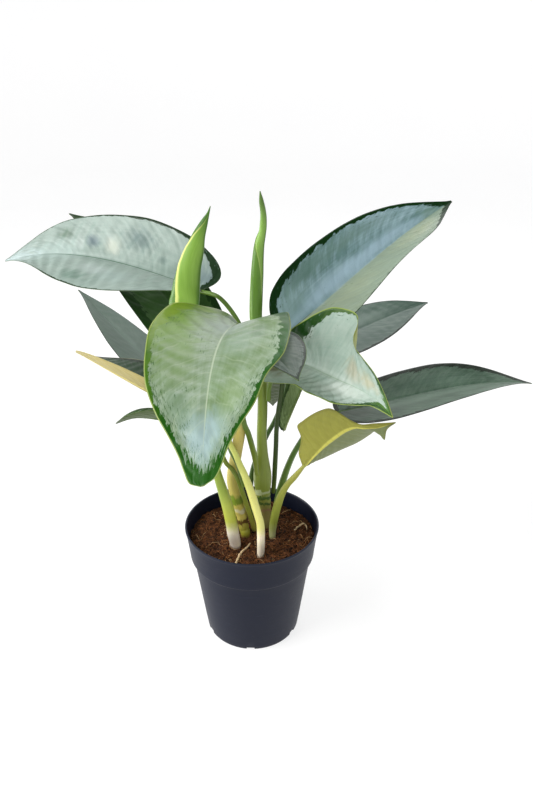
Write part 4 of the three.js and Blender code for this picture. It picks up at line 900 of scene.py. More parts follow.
# round floor that curves up into a pale wall on every side
fv, ff = [(0, 0, 0)], []
prof = [(.6, 0.0), (2.4, 0.0), (2.8, .03), (3.15, .15), (3.4, .40), (3.52, .8), (3.56, 3.0)]
NF = 96
for r_, z_ in prof:
    for k in range(NF):
        t_ = 2 * math.pi * k / NF
        fv.append((r_ * math.cos(t_), r_ * math.sin(t_), z_))
for k in range(NF):
    k1 = (k + 1) % NF
    ff.append((0, 1 + k, 1 + k1))
    for i in range(len(prof) - 1):
        a_ = 1 + i * NF
        ff.append((a_ + k, a_ + NF + k, a_ + NF + k1, a_ + k1))
me = bpy.data.meshes.new("floor")
me.from_pydata(fv, [], ff)
me.polygons.foreach_set('use_smooth', [True] * len(me.polygons))
floor = bpy.data.objects.new("floor", me)
bpy.context.collection.objects.link(floor)
m = NT("floor_white")
fn = m.noise(m.obj(), 3.0, 2.0, .5)
m.bsdf(m.mixc(fn, (.31, .31, .315), (.33, .33, .33)), .9, None, **{'Specular IOR Level': .1, 'Emission Color': (1, 1, 1, 1), 'Emission Strength': .75})
me.materials.append(m.mat)

# ------------------------------------------------------------------ leaf blades
G = srgb
SPEC = {
    # blade_01 zones: the pale blue-white blotches mid-blade and towards the tip, and the near-white tip, are painted
    # highlights; the dark grey-green blotches are leaf markings that partly hold painted shade
    'blade_01': dict(mesh=dict(quilt=.6, seed=1.0, wave=.8), silver=G(172, 187, 179), silver2=G(129, 150, 140), green=G(31, 53, 32), under=G(111, 129, 83),
                     wp=((0, 7), (.06, 4), (.2, 1.0), (.55, 1.4), (.72, 1.3), (.84, .3), (1, .2)), wn=((0, 8), (.08, 6.5), (.14, 4.2), (.25, 2.8), (.38, 2.2), (.5, 1.2), (.6, .6), (1, .2)),
                     ragged=1.2, patch=.62, speck=.35, midrib=G(88, 116, 99), midrib_w=.018, seed=1.0, rough=.30, coat=.45, vein_dark=.12, edge=G(139, 157, 129), edge_w=.25,
                     tint_and_painted_light_zones=((.79, -.05, .2, .7, G(183, 202, 196), .7), (1.0, 0, .2, 1.2, G(205, 222, 222), .95), (.71, -.65, .05, .22, G(88, 112, 92), .7), (.59, -.41, .05, .24, G(96, 116, 124), .8),
                            (.38, -.55, .09, .3, G(107, 127, 125), .75), (.57, .74, .1, .22, G(109, 135, 122), .65), (.49, -.32, .05, .3, G(198, 205, 191), .8), (.645, -.35, .03, .25, G(189, 202, 196), .7),
                            (.25, -.3, .03, .1, G(101, 124, 118), .6), (.5, .4, .12, .2, G(185, 198, 194), .6), (.06, -.6, .09, .6, G(111, 129, 135), .7), (.36, .5, .14, .3, G(163, 181, 176), .5))),
    # blade_02: its dark greens are the top side as it looks in the shadow of blade_01, so they partly hold painted
    # shade
    'blade_02': dict(mesh=dict(quilt=.4, seed=2.0), silver=G(78, 116, 63), silver2=G(43, 74, 34), green=G(34, 65, 27), under=G(112, 134, 67), wp=((0, 9), (1, 9)), wn=((0, 6), (1, 6)), ragged=5.0, patch=.5, speck=.5, seed=2.0, rough=.45, coat=.1, spec=.3,
                     tint_and_painted_light_zones=((.3, .85, .3, .2, G(74, 96, 67), .5),)),
    # blade_03: its dim silver is the silver-grey top side as it looks in shade, so it partly holds painted shade
    'blade_03': dict(mesh=dict(quilt=.15, seed=3.0), silver=G(98, 122, 108), silver2=G(69, 93, 81), green=G(27, 49, 33), under=G(102, 120, 79), wp=((0, 1.0), (1, .8)), wn=((0, 1.0), (1, .8)), relief=.14, ragged=.8, patch=.5, speck=.1, seed=3.0, rough=.38, vein_dark=.1,
                     tint_and_painted_light_zones=((.62, -.05, .3, .25, G(115, 137, 126), .6), (.45, .6, .3, .3, G(77, 100, 88), .5), (.92, 0, .1, .8, G(88, 111, 95), .5)), translucent=.04),
    # blade_04: its dark green top colours are the top side as it looks in shade, so they partly hold painted shade
    'blade_04': dict(mesh=dict(quilt=.3, seed=4.0), silver=G(48, 74, 48), silver2=G(24, 44, 26), green=G(18, 37, 18), under=G(190, 175, 103), wp=((0, 4), (1, 3)), wn=((0, 5), (1, 4)), ragged=4.0, patch=.6, speck=.6, seed=4.0, edge=G(180, 175, 120), edge_w=.5, translucent=.03,
                     tint_and_painted_light_zones=((.5, .5, .3, .4, G(88, 107, 88), .4),)),
    'blade_05': dict(mesh=dict(quilt=.3, seed=5.0), silver=G(47, 82, 12), silver2=G(20, 47, 7), green=G(15, 36, 8), under=G(68, 92, 28), wp=((0, 4), (1, 2)), wn=((0, 2), (1, 1)), ragged=4.0, patch=.7, speck=.4, seed=5.0, edge=G(100, 118, 55), edge_w=.6, translucent=.04, spec=.35),
    # blade_06: the bluish-grey zone over the lower blade near the tip is painted light, the lit side of a light and
    # shade edge with a bluish sheen
    'blade_06': dict(mesh=dict(quilt=.6, seed=6.0, wave=.5), silver=G(157, 176, 153), silver2=G(110, 136, 89), green=G(28, 82, 6), under=G(140, 149, 84),
                     wp=((0, 7), (.12, 8), (.22, 7.0), (.31, 6.0), (.37, 6.4), (.45, 5.0), (.53, 2.8), (.65, 3.0), (.78, 2.6), (.89, 3.6), (.94, 6), (1, 12)),
                     wn=((0, 9), (.16, 10), (.25, 8), (.34, 5.2), (.42, 3.6), (.52, 2.6), (.62, 2.2), (.74, 3.0), (.83, 2.8), (.9, 4.2), (.94, 7), (1, 12)),
                     tip_streak=26.0, ragged=3.4, patch=1.3, speck=1.9, midrib=G(187, 202, 174), midrib_w=.02, vein_light=G(183, 198, 168), vein_dark=.1, seed=6.0, rough=.33, coat=.35, edge=G(164, 179, 102), edge_w=.8, vein_n=9.0,
                     tint_and_painted_light_zones=((.3, -.74, .24, .5, G(112, 150, 34), .95), (.45, -.55, .25, .45, G(132, 159, 104), .7), (.16, .0, .15, .5, G(155, 172, 161), .75), (.36, .3, .16, .35, G(149, 170, 151), .6), (.3, .55, .08, .2, G(114, 136, 114), .5),
                            (.84, .0, .14, 1.0, G(159, 183, 185), .85), (.70, -.55, .12, .35, G(112, 138, 112), .55), (.6, .05, .12, .3, G(136, 161, 125), .4), (.66, .5, .14, .35, G(138, 163, 108), .5)),
                     gzones=((.27, -.9, .3, .6, G(121, 153, 27), 1.0), (.55, -.95, .2, .3, G(78, 121, 27), .8), (.12, .6, .10, .5, G(59, 102, 31), .8))),
    'blade_09': dict(mesh=dict(quilt=.28, seed=9.0), silver=G(148, 174, 182), silver2=G(98, 128, 128), green=G(10, 44, 12), under=G(120, 140, 80), right=G(150, 166, 142),
                     wp=((0, 8), (.1, 6.5), (.2, 6.0), (.3, 5.0), (.45, 4.2), (.6, 3.4), (.75, 2.8), (.88, 3.4), (1, 7)), wn=((0, 1.2), (.3, .7), (.6, .6), (.76, .9), (.84, 2.6), (1, 6)),
                     ragged=3.4, patch=1.35, speck=1.0, seed=9.0, rough=.30, coat=.4, vein_dark=.1,
                     tint_and_painted_light_zones=((.28, .72, .3, .3, G(92, 122, 112), .8), (.55, .7, .25, .25, G(104, 130, 124), .6), (.45, .16, .6, .24, G(158, 184, 198), .8), (.12, .45, .14, .4, G(118, 146, 140), .6), (.75, -.4, .2, .4, G(170, 178, 148), .5), (.35, -.35, .2, .4, G(156, 168, 140), .5), (.9, 0, .08, 1, G(110, 136, 120), .6))),
    # blade_10: its dim silver is the leaf as it looks in shade behind the others, so it partly holds painted shade
    'blade_10': dict(mesh=dict(quilt=.2, seed=10.0), silver=G(103, 122, 112), silver2=G(66, 88, 78), green=G(17, 38, 23), under=G(93, 110, 71), wp=((0, 1.0), (1, .7)), wn=((0, 3.0), (.4, 2.4), (.7, 1.6), (1, .8)), relief=.14, ragged=1.4, patch=.8, speck=.2, seed=10.0, vein_dark=.1, translucent=.04,
                     tint_and_painted_light_zones=((.42, -.6, .3, .4, G(62, 90, 77), .7), (.6, .3, .25, .3, G(118, 135, 127), .5), (.5, -.05, .12, .12, G(76, 95, 90), .4))),
    'blade_11': dict(mesh=dict(quilt=.5, seed=11.0), silver=G(174, 188, 177), silver2=G(138, 162, 148), green=G(18, 62, 8), under=G(158, 168, 89),
                     wp=((0, 6), (.12, 11), (.22, 12.5), (.29, 9.5), (.36, 5.5), (.44, 2.6), (.53, 1.6), (.7, 1.6), (.82, 2.2), (.88, 6), (1, 9)), wn=((0, 2.5), (.2, 1.6), (.4, .9), (.6, 1.2), (.74, 1.8), (.82, 4), (.88, 7), (1, 9)),
                     ragged=1.8, patch=.85, speck=1.2, seed=11.0, edge=G(156, 176, 83), edge_w=.85, rough=.34, coat=.3, midrib=G(138, 163, 138), midrib_w=.014, vein_dark=.12,
                     tint_and_painted_light_zones=((.66, .3, .13, .3, G(166, 154, 124), .55), (.8, .35, .1, .3, G(178, 170, 136), .6), (.66, -.25, .2, .45, G(197, 207, 197), .6), (.12, -.55, .12, .5, G(110, 104, 79), .8), (.25, .35, .12, .35, G(126, 152, 134), .6), (.45, .0, .2, .2, G(183, 197, 183), .4)),
                     gzones=((.9, 0, .14, 1, G(83, 128, 39), .7), (.5, .9, .2, .3, G(89, 118, 59), .6), (.5, -.95, .4, .2, G(108, 138, 59), .7))),
    'blade_12': dict(mesh=dict(quilt=.12, seed=12.0), silver=G(150, 166, 154), silver2=G(79, 104, 90), green=G(16, 47, 18), under=G(110, 128, 78), wp=((0, 4), (.4, 2.4), (.62, 1.8), (.9, 2), (1, 3)), wn=((0, 4), (.4, 1.8), (.7, 1.2), (1, 3)), relief=.14, ragged=1.8, patch=1.3, speck=.9, seed=12.0, edge=G(128, 157, 96), edge_w=.4, translucent=.03,
                     tint_and_painted_light_zones=((.6, .2, .3, .5, G(144, 166, 155), .6), (.25, 0, .25, .8, G(68, 95, 80), .6))),
    # blade_13: its dim silver is the leaf as it looks in shade behind and below the others, so it partly holds painted
    # shade
    'blade_13': dict(mesh=dict(quilt=.12, seed=13.0), silver=G(97, 123, 104), silver2=G(60, 87, 68), green=G(10, 34, 12), under=G(88, 110, 66), wp=((0, 6), (.2, 5.2), (.43, 4.4), (.58, 4.8), (.75, 5.6), (.85, 4.8), (1, 4)), wn=((0, 4), (.1, 3.4), (.25, 2.6), (.39, 1.2), (.6, .7), (.8, .9), (1, 2.4)),
                     relief=.14, ragged=3.6, patch=1.25, speck=1.1, seed=13.0, vein_dark=.1, rough=.36, translucent=.03,
                     tint_and_painted_light_zones=((.08, -.3, .13, .8, G(41, 59, 40), .8), (.5, -.3, .4, .25, G(109, 132, 115), .6), (.22, -.55, .1, .25, G(55, 81, 64), .6), (.45, .4, .3, .3, G(65, 94, 76), .5), (.75, -.2, .2, .3, G(106, 129, 111), .5))),
    'blade_14': dict(mesh=dict(quilt=.35, seed=14.0, up=1), silver=G(112, 122, 116), silver2=G(72, 86, 78), green=G(34, 44, 36), under=G(166, 164, 74), under_rib=G(222, 216, 104), under2=G(126, 138, 98), wp=((0, 2), (1, 1.5)), wn=((0, 2), (1, 1.5)), ragged=1.5, patch=.5, speck=.3, seed=14.0, translucent=.12),
    'blade_15': dict(mesh=dict(quilt=.3, seed=15.0), silver=G(58, 76, 55), silver2=G(33, 48, 31), green=G(19, 34, 17), under=G(76, 91, 55), wp=((0, 2), (1, 2)), wn=((0, 2), (1, 2)), ragged=2.5, patch=.6, speck=.3, seed=15.0, translucent=.03),
    'blade_16': dict(mesh=dict(quilt=.2, seed=16.0), silver=G(140, 162, 110), silver2=G(78, 98, 56), green=G(40, 66, 24), under=G(128, 142, 70), wp=((0, 1.5), (1, 1.5)), wn=((0, 1.5), (1, 1.5)), ragged=1.5, patch=.7, speck=.5, seed=16.0, translucent=.04, right=G(118, 140, 62)),
}

DRAWN_BULGE = {'blade_11': (.05, .10), 'blade_14': (-.06, -.05)}
for name, sp in SPEC.items():
    sp = dict(sp)
    mk = sp.pop('mesh')
    if name in BLADES:
        ob = fitted_blade(name + '_fine', BLADES[name], **mk)
    else:
        ob = drawn_blade(name + '_fine', DRAWN_BLADES[name], bulge=DRAWN_BULGE[name], **mk)
    add_piece(ob, name, leaf_material(name + '_skin', **sp))

# ------------------------------------------------------------------ canes and stalks
LEADS = {'cane_left': 'blade_05'}
for k in STEMS:
    if k.startswith('stalk_') and k != 'stalk_07':
        LEADS[k] = 'blade_' + k[6:]


def stem_rows(name):
    rows = np.array(STEMS[name], float)
    if name in LEADS:
        b = LEADS[name]
        mid = np.array(BLADES[b]['mid'] if b in BLADES else DRAWN_BLADES[b]['mid'], float)
        if b in BLADES:
            fr = frames(mid, BLADES[b]['roll'])
            L = fr[1]
            pts = []
            for s, rad in ((0.0, 1.5), (.035, 1.15), (.09, .7), (.16, .35)):
                k = s * 64
                i = int(k)
                p = fr[2][i] * (1 - (k - i)) + fr[2][i + 1] * (k - i)
                pts.append([*(p - fr[4][i] * (rad * .75 + .35)), rad])
        else:
            c = catmull(mid, [0, .6, 1.4, 2.4])
            t0 = c[1] - c[0]
            back = np.array([.03, .5, -.6]) if b == 'blade_11' else np.array([0, -.85, .3])
            pts = [[*(c[i] + back * rad), rad] for i, rad in enumerate((1.5, 1.1, .7, .35))]
        rows = np.vstack([rows[:-1], pts])
    elif name == 'cane_main':
        rows = np.vstack([rows[:-1], [*np.array(ROLLED['rolled_leaf_08'][1][:3]), 3.2]])
    elif name == 'stalk_07':
        rows = np.vstack([rows[:-1], [*np.array(ROLLED['rolled_leaf_07'][1][:3]), 2.2]])
    return rows


def ring_bumps(centres, amp, width, seed=0.0, ridge=.12, ridges=7):
    def f(P, S, th):
        z = P[:, 2]
        o = np.zeros((len(P), len(th)))
        for c, a, wd in zip(centres, amp, width):
            tilt = .6 * np.sin(th + c)
            o += a * np.exp(-((z[:, None] - c - tilt[None]) / wd) ** 2)
        o += ridge * np.sin(th * ridges + seed)[None] * np.clip((z - 90) / 60, 0, 1)[:, None]
        return o
    return f


WHITE = G(252, 238, 214)
CREAM = G(228, 216, 150)
stems = {
    # name: (foot colour, middle, upper, z0, z1, z2, options)
    'cane_main': (G(140, 130, 76), G(126, 140, 58), G(118, 136, 58), .110, .135, .24, dict(rough=.38, streak=.7, node_z=((.1285, .1345, .1225, .1155), (.0028, .0022, .0020, .0016)), node_col=(G(70, 100, 44), G(186, 196, 150), G(64, 88, 40), G(150, 120, 88)))),
    'cane_left': (G(229, 218, 202), G(178, 184, 75), G(129, 149, 53), .112, .126, .165, dict(rough=.3, coat=.3, streak=.35)),
    'cane_pale': (G(146, 144, 48), G(194, 181, 93), G(191, 177, 96), .10, .118, .18, dict(rough=.38, streak=.4, node_z=((.1345, .1235, .1105), (.0060, .0030, .0035)), node_col=(G(110, 136, 38), G(203, 196, 163), G(83, 53, 26)))),
    'stalk_03': (WHITE, G(219, 215, 129), G(190, 195, 101), .113, .128, .19, dict(rough=.3, coat=.3, streak=.3)),
    'stalk_14': (G(174, 178, 125), G(142, 153, 64), G(157, 157, 75), .098, .115, .18, dict(rough=.36)),
    'stalk_04': (G(180, 176, 80), G(140, 146, 58), G(110, 126, 46), .10, .12, .16, {}),
    'stalk_02': (G(140, 150, 70), G(100, 122, 50), G(70, 96, 40), .12, .14, .19, {}),
    'stalk_06': (G(130, 144, 52), G(116, 132, 44), G(88, 112, 36), .15, .17, .20, {}),
    'stalk_09': (G(84, 100, 34), G(58, 78, 26), G(46, 66, 22), .13, .15, .19, {}),
    'stalk_10': (G(80, 100, 44), G(66, 92, 38), G(64, 92, 40), .12, .15, .19, {}),
    'stalk_13': (G(110, 134, 62), G(96, 124, 52), G(78, 108, 46), .10, .13, .18, {}),
}
for name in STEMS:
    lo, mi, hi, z0, z1, z2, opt = stems.get(name, (G(96, 116, 44), G(92, 116, 44), G(92, 122, 44), .2, .24, .29, {}))
    rows = stem_rows(name)
    bf = None
    if name == 'cane_main':
        bf = ring_bumps((150.0, 128.5, 122.5, 115.5), (.85, .45, .4, .3), (13.0, 1.4, 1.0, 1.0), 1.0)
    elif name == 'cane_pale':
        bf = ring_bumps((134.5, 121, 104), (.35, .35, .3), (3.5, 1.2, 1.2), 2.0, .08)
    else:
        bf = ring_bumps((), (), (), hash(len(rows)) % 7, .07, 5)
    ob = tube_mesh(name + '_fine', rows, sides=32, per=8, bumps=bf)
    add_piece(ob, name, stem_material(name + '_skin', lo, mi, hi, z0, z1, z2, seed=float(len(name) + sum(map(ord, name)) % 13), **opt))

# ------------------------------------------------------------------ rolled leaves
def rolled_mesh(name, rows, flat, seam_deg, step=.13, outer_right=True, sides=64, per=10):
    rows = np.asarray(rows, float)
    n = len(rows) - 1
    u = np.linspace(0, n, n * per + 1)
    P4 = catmull(rows, u)
    P, R = P4[:, :3], np.maximum(P4[:, 3], .15)
    seam = np.radians(np.interp(u / n, np.linspace(0, 1, len(seam_deg)), seam_deg))
    T = np.gradient(P, axis=0)
    T /= np.linalg.norm(T, axis=1)[:, None]
    front = np.array([.03, -.91, .41])
    Nf = front - T * (T @ front)[:, None]
    Nf /= np.linalg.norm(Nf, axis=1)[:, None]
    S = np.cross(Nf, T)
    f = np.linspace(0, 1, sides + 1)
    a = seam[:, None] + 2 * np.pi * f[None]
    prof = 1 - step * ((1 - f) if outer_right else f)
    # the free edge stands a little proud
    lip = np.exp(-((1 - f) if outer_right else f) / .02) * .04
    rr = R[:, None] * (prof + lip)[None]
    Gd = P[:, None] + flat * (rr * np.cos(a))[..., None] * Nf[:, None] + (rr * np.sin(a))[..., None] * S[:, None]
    m_, k_ = Gd.shape[:2]
    I = np.arange(m_ * k_).reshape(m_, k_)
    J = np.roll(I, -1, axis=1)
    F = np.stack([I[:-1], J[:-1], J[1:], I[1:]], -1).reshape(-1, 4).tolist()
    F.append(I[0][::-1].tolist())
    F.append(I[-1].tolist())
    S_ = np.r_[0, np.cumsum(np.linalg.norm(np.diff(P, axis=0), axis=1))]
    uv = np.stack([np.repeat(S_ / S_[-1], k_), np.tile(f, m_)], 1)
    ang = np.mod(np.degrees(a) + 180, 360) / 360
    ex = np.stack([ang.ravel(), np.repeat(R, k_) / 100], 1)
    ob = mesh_object(name, Gd.reshape(-1, 3), F, uv, ex)
    ob.data.polygons.foreach_set('use_smooth', [i < len(F) - 2 for i in range(len(F))])
    # hard shading across the free edge
    mod = ob.modifiers.new('edge', 'EDGE_SPLIT')
    mod.split_angle = math.radians(50)
    return ob


def rolled_material(name, main, main2, inner, stripe, line, seed=0.0, right_painted_shade=None, tip=None):
    m = NT(name)
    U, F_ = m.uv('leaf')
    A, _r = m.uv('extra')                       # angle round the roll, .5 = front, > .5 towards the left
    st = m.noise(m.vec(m.math('MULTIPLY', U, 3.0), m.math('MULTIPLY_ADD', F_, 26.0, seed), seed), 1.0, 3.0, .6)
    br = m.noise(m.vec(m.math('MULTIPLY', U, 5.0), m.math('MULTIPLY_ADD', F_, 5.0, seed + 3), seed), 1.0, 2.0, .5)
    col = m.mixc(m.math('ADD', m.math('MULTIPLY', st, .7), m.math('MULTIPLY', m.math('SUBTRACT', br, .35), .6), clamp=True), main, main2)
    # painted shade: the side of each roll that faces right, away from the lamps, is darkened in its colour
    if right_painted_shade is not None:
        right_shade_mask = m.math('SUBTRACT', 1.0, m.ss(m.math('ADD', A, m.math('MULTIPLY', m.math('SUBTRACT', br, .5), .06)), .30, .385))
        col = m.mixc(m.math('MULTIPLY', right_shade_mask, .9), col, right_painted_shade)
    fi = m.math('SUBTRACT', 1.0, m.ss(F_, .22, .30))
    col = m.mixc(fi, col, m.mixc(st, inner, [c * .62 for c in inner]))
    fl = m.ss(F_, .955, .985)
    col = m.mixc(m.math('MULTIPLY', fl, .9), col, line)
    if tip is not None:
        col = m.mixc(m.math('MULTIPLY', m.ss(U, .72, .95), .85), col, tip)
    bmp = m.bump(st, .3, .0004)
    bmp = m.bump(m.noise(m.obj(), 2200.0, 2.0, .6), .1, .00015, bmp)
    m.bsdf(col, m.math('ADD', m.math('MULTIPLY', st, .12), .32), bmp, **{'Specular IOR Level': .3, 'Coat Weight': .1, 'Coat Roughness': .25, 'Subsurface Weight': .04, 'Subsurface Radius': (.003, .003, .001), 'Subsurface Scale': .4})
    return m.mat


# the darker green given for the right side of each rolled leaf is painted shade
r7 = rolled_mesh('rolled_leaf_07_fine', ROLLED['rolled_leaf_07'], .62, (10, 14, 18, 24, 30, 42, 56, 58, 40, 0, -30, -40), sides=72, per=10)
add_piece(r7, 'rolled_leaf_07', rolled_material('rolled_07_skin', G(104, 146, 40), G(140, 176, 74), G(80, 126, 26), None, G(222, 226, 132), seed=7.0, right_painted_shade=G(66, 108, 26), tip=G(56, 100, 22)))
r8 = rolled_mesh('rolled_leaf_08_fine', ROLLED['rolled_leaf_08'], 1.0, (-70, -62, -50, -30, 0, 60, 110, 150, 180, 200, 220), step=.10, outer_right=False, sides=60, per=10)
add_piece(r8, 'rolled_leaf_08', rolled_material('rolled_08_skin', G(118, 158, 64), G(140, 178, 84), G(100, 142, 50), None, G(176, 198, 112), seed=8.0, right_painted_shade=G(46, 78, 26), tip=G(68, 98, 36)))

# ------------------------------------------------------------------ pot
POT_R, POT_H = 60.0, 109.0
prof = [(0, 0), (20, 0), (38.6, 0), (42.2, .0), (42.8, .25), (43.2, .9), (43.6, 4.2)]
for k in range(1, 12):
    z = 4.2 + (76.6 - 4.2) * k / 11
    prof.append((43.2 + (53.4 - 43.2) * (z / 77.2), z))
prof += [(53.5, 77.3), (53.9, 78.1), (55.0, 78.7), (55.7, 78.95), (56.05, 79.3), (56.25, 80.2), (56.6, 84), (57.3, 90), (58.0, 96), (58.8, 102), (59.45, 106.6), (59.6, 107.2), (59.95, 107.7), (60.0, 108.3),
         (59.85, 108.8), (59.5, 109.0), (58.7, 109.0), (58.35, 108.7), (58.1, 107.8), (57.2, 101), (56.2, 92), (55.3, 85), (54.75, 80), (54.3, 78.6), (52.3, 77.6), (51.0, 70), (46.7, 38), (42.0, 4.0), (41.2, 2.4), (30, 2.0), (0, 2.0)]
half = math.degrees(3.5 / 43.2)
angs = set(np.round(np.linspace(0, 360, 193)[:-1], 4))
slots = [(-92 + 60 * i) % 360 for i in range(6)]
for s in slots:
    angs = {a for a in angs if abs((a - s + 180) % 360 - 180) > half + .6}
    for d in (-half - .35, -half, -half * .5, 0, half * .5, half, half + .35):
        angs.add((s + d) % 360)
angs = sorted(angs)
pv, pf, puv = [], [], []
na, npf = len(angs), len(prof)
arc = np.r_[0, np.cumsum([math.dist(prof[i], prof[i + 1]) for i in range(npf - 1)])]
for a in angs:
    inn = any(abs((a - s + 180) % 360 - 180) <= half + .01 for s in slots)
    c, s_ = math.cos(math.radians(a)), math.sin(math.radians(a))
    for i, (r, z) in enumerate(prof):
        if inn and 2 <= i <= 6:
            r, z = {2: (41.2, 0), 3: (41.3, 2.6), 4: (42.2, 3.0), 5: (43.3, 3.1), 6: (43.6, 3.8)}[i]
        pv.append((r * c, r * s_, z))
        puv.append((a / 360, arc[i] / 100))
for j in range(na):
    k = (j + 1) % na
    for i in range(npf - 1):
        pf.append([j * npf + i, k * npf + i, k * npf + i + 1, j * npf + i + 1])
pot = mesh_object('pot_fine', pv, pf, puv)
md = pot.modifiers.new('weld', 'WELD')
md.merge_threshold = 1e-6
es = pot.modifiers.new('edge', 'EDGE_SPLIT')
es.split_angle = math.radians(38)
m = NT('pot_plastic_skin')
ob_ = m.obj()
s3 = m.n('ShaderNodeSeparateXYZ')
m.link(ob_, s3.inputs[0])
big = m.noise(ob_, 22.0, 3.0, .55)
fine = m.noise(ob_, 2400.0, 2.0, .6)
scuff = m.noise(m.vec(m.math('MULTIPLY', s3.outputs[0], 60.0), m.math('MULTIPLY', s3.outputs[1], 60.0), m.math('MULTIPLY', s3.outputs[2], 700.0)), 1.0, 3.0, .6)
dust = m.noise(ob_, 260.0, 3.0, .7)
pc = m.mixc(big, srgb(8, 14, 33), srgb(13, 20, 40))
pc = m.mixc(m.math('MULTIPLY', m.ss(scuff, .58, .75), .18), pc, srgb(62, 68, 84))
pc = m.mixc(m.math('MULTIPLY', m.ss(dust, .66, .78), .25), pc, srgb(72, 68, 66))
lip = m.ss(s3.outputs[2], .1078, .1088)
pc = m.mixc(m.math('MULTIPLY', lip, .25), pc, srgb(64, 70, 86))
rings = m.math('SINE', m.math('MULTIPLY', s3.outputs[2], 5200.0))
bmp = m.bump(fine, .22, .00016)
bmp = m.bump(rings, .05, .0001, bmp)
bmp = m.bump(m.noise(ob_, 35.0, 2.0, .5), .12, .002, bmp)
m.bsdf(pc, m.math('ADD', m.math('MULTIPLY', big, .14), m.math('MULTIPLY_ADD', scuff, .10, .36)), bmp, **{'Specular IOR Level': .22})
add_piece(pot, 'pot', m.mat)

# ------------------------------------------------------------------ potting mix
rng = np.random.default_rng(7)
TOP = 95.0


def soil_h(x, y):
    r = math.hypot(x, y)
    h = 1.5 * snoise(x / 26, y / 26, 3.0) + 1.7 * snoise(x / 9, y / 9, 5.0) + 1.5 * snoise(x / 3.6, y / 3.6, 8.0) + 1.0 * snoise(x / 1.5, y / 1.5, 11.0)
    return TOP + h + .2 - .9 * max(0, (r - 50) / 6)


NRg, NAg = ((120, 300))
SR = 56.5
sv = [(0, 0, soil_h(0, 0))]
for i in range(1, NRg + 1):
    r = SR * i / NRg
    for j in range(NAg):
        a = 2 * math.pi * j / NAg
        x, y = r * math.cos(a), r * math.sin(a)
        sv.append((x, y, soil_h(x, y)))
low = [(SR - 2.0, 82.0), (SR - 5.4, 72.0), (45.9, 38.0), (41.6, 4.4)]
for r, z in low:
    for j in range(NAg):
        a = 2 * math.pi * j / NAg
        sv.append((r * math.cos(a), r * math.sin(a), z))
sv.append((0, 0, 4.4))
sf = []
for j in range(NAg):
    k = (j + 1) % NAg
    sf.append([0, 1 + j, 1 + k])
    for i in range(NRg + len(low) - 1):
        a = 1 + i * NAg
        sf.append([a + j, a + NAg + j, a + NAg + k, a + k])
    a = 1 + (NRg + len(low) - 1) * NAg
    sf.append([a + j, len(sv) - 1, a + k])
soil = mesh_object('potting_mix_fine', sv, sf)
m = NT('potting_mix_skin')
ob_ = m.obj()
n1 = m.noise(ob_, 190.0, 4.0, .65)
n2 = m.noise(ob_, 620.0, 3.0, .7)
n3 = m.noise(ob_, 60.0, 2.0, .5)
# colour follows the bump height: near-black in the hollows, pale orange-brown on the crests; dark peat and pale bits,
# partly painted shade in the hollows and painted light on the crests
pc = m.mixc(m.ss(n1, .34, .66), srgb(16, 8, 5), srgb(98, 58, 32))
pc = m.mixc(m.math('MULTIPLY', m.ss(n2, .5, .72), .85), pc, srgb(158, 100, 58))
pc = m.mixc(m.math('MULTIPLY', m.ss(n3, .5, .7), .5), pc, srgb(44, 24, 14))
pc = m.mixc(m.math('MULTIPLY', m.ss(m.noise(ob_, 900.0, 2.0, .6), .56, .66), .8), pc, srgb(10, 5, 4))
bmp = m.bump(n1, .7, .0016)
bmp = m.bump(n2, .7, .0007, bmp)
m.bsdf(pc, .92, bmp, **{'Specular IOR Level': .25})
add_piece(soil, 'soil', m.mat)


def merged_tubes(name, paths, sides, colors=None):
    V, F, UV, o = [], [], [], 0
    for pi_, (P, R) in enumerate(paths):
        P = np.asarray(P)
        T = np.gradient(P, axis=0)
        T /= np.maximum(np.linalg.norm(T, axis=1), 1e-9)[:, None]
        ref = np.array([.3, .2, .93])
        N = np.cross(T, ref)
        N /= np.maximum(np.linalg.norm(N, axis=1), 1e-9)[:, None]
        B = np.cross(T, N)
        th = np.linspace(0, 2 * np.pi, sides, endpoint=False)
        Gd = P[:, None] + np.asarray(R)[:, None, None] * (np.cos(th)[None, :, None] * N[:, None] + np.sin(th)[None, :, None] * B[:, None])
        k = len(P)
        V.append(Gd.reshape(-1, 3))
        for i in range(k - 1):
            for j in range(sides):
                q = (j + 1) % sides
                F.append([o + i * sides + j, o + i * sides + q, o + (i + 1) * sides + q, o + (i + 1) * sides + j])
        F.append([o + j for j in range(sides)][::-1])
        F.append([o + (k - 1) * sides + j for j in range(sides)])
        UV.append(np.c_[np.full(k * sides, rng.random()), np.repeat(np.linspace(0, 1, k), sides)])
        o += k * sides
    return mesh_object(name, np.vstack(V), F, np.vstack(UV))


def on_soil(x, y):
    r = math.hypot(x, y)
    return r < 55.5


fibres = []
for _ in range(900):
    a, rr = rng.random() * 2 * math.pi, 55.0 * math.sqrt(rng.random())
    x, y = rr * math.cos(a), rr * math.sin(a)
    d = rng.random() * 2 * math.pi
    Ln = 3 + 11 * rng.random() ** 2
    curl = rng.normal(0, .16)
    lift = rng.random() ** 2 * 2.2
    P = []
    k = 9
    for i in range(k):
        t = i / (k - 1)
        xx, yy = x, y
        if math.hypot(xx, yy) > 55.4:
            break
        P.append((xx, yy, soil_h(xx, yy) + .15 + lift * math.sin(math.pi * t)))
        d += curl + rng.normal(0, .07)
        x += math.cos(d) * Ln / k
        y += math.sin(d) * Ln / k
    if len(P) >= 5:
        rad = .10 + .20 * rng.random() ** 2
        R = rad * np.clip(np.sin(np.linspace(.25, math.pi - .15, len(P))) + .25, .2, 1)
        fibres.append((P, R))
fb = merged_tubes('coir_fibres', fibres, 4)
m = NT('coir_skin')
U, Vv = m.uv('leaf')
fc = m.mixc(U, srgb(70, 38, 20), srgb(176, 116, 66))
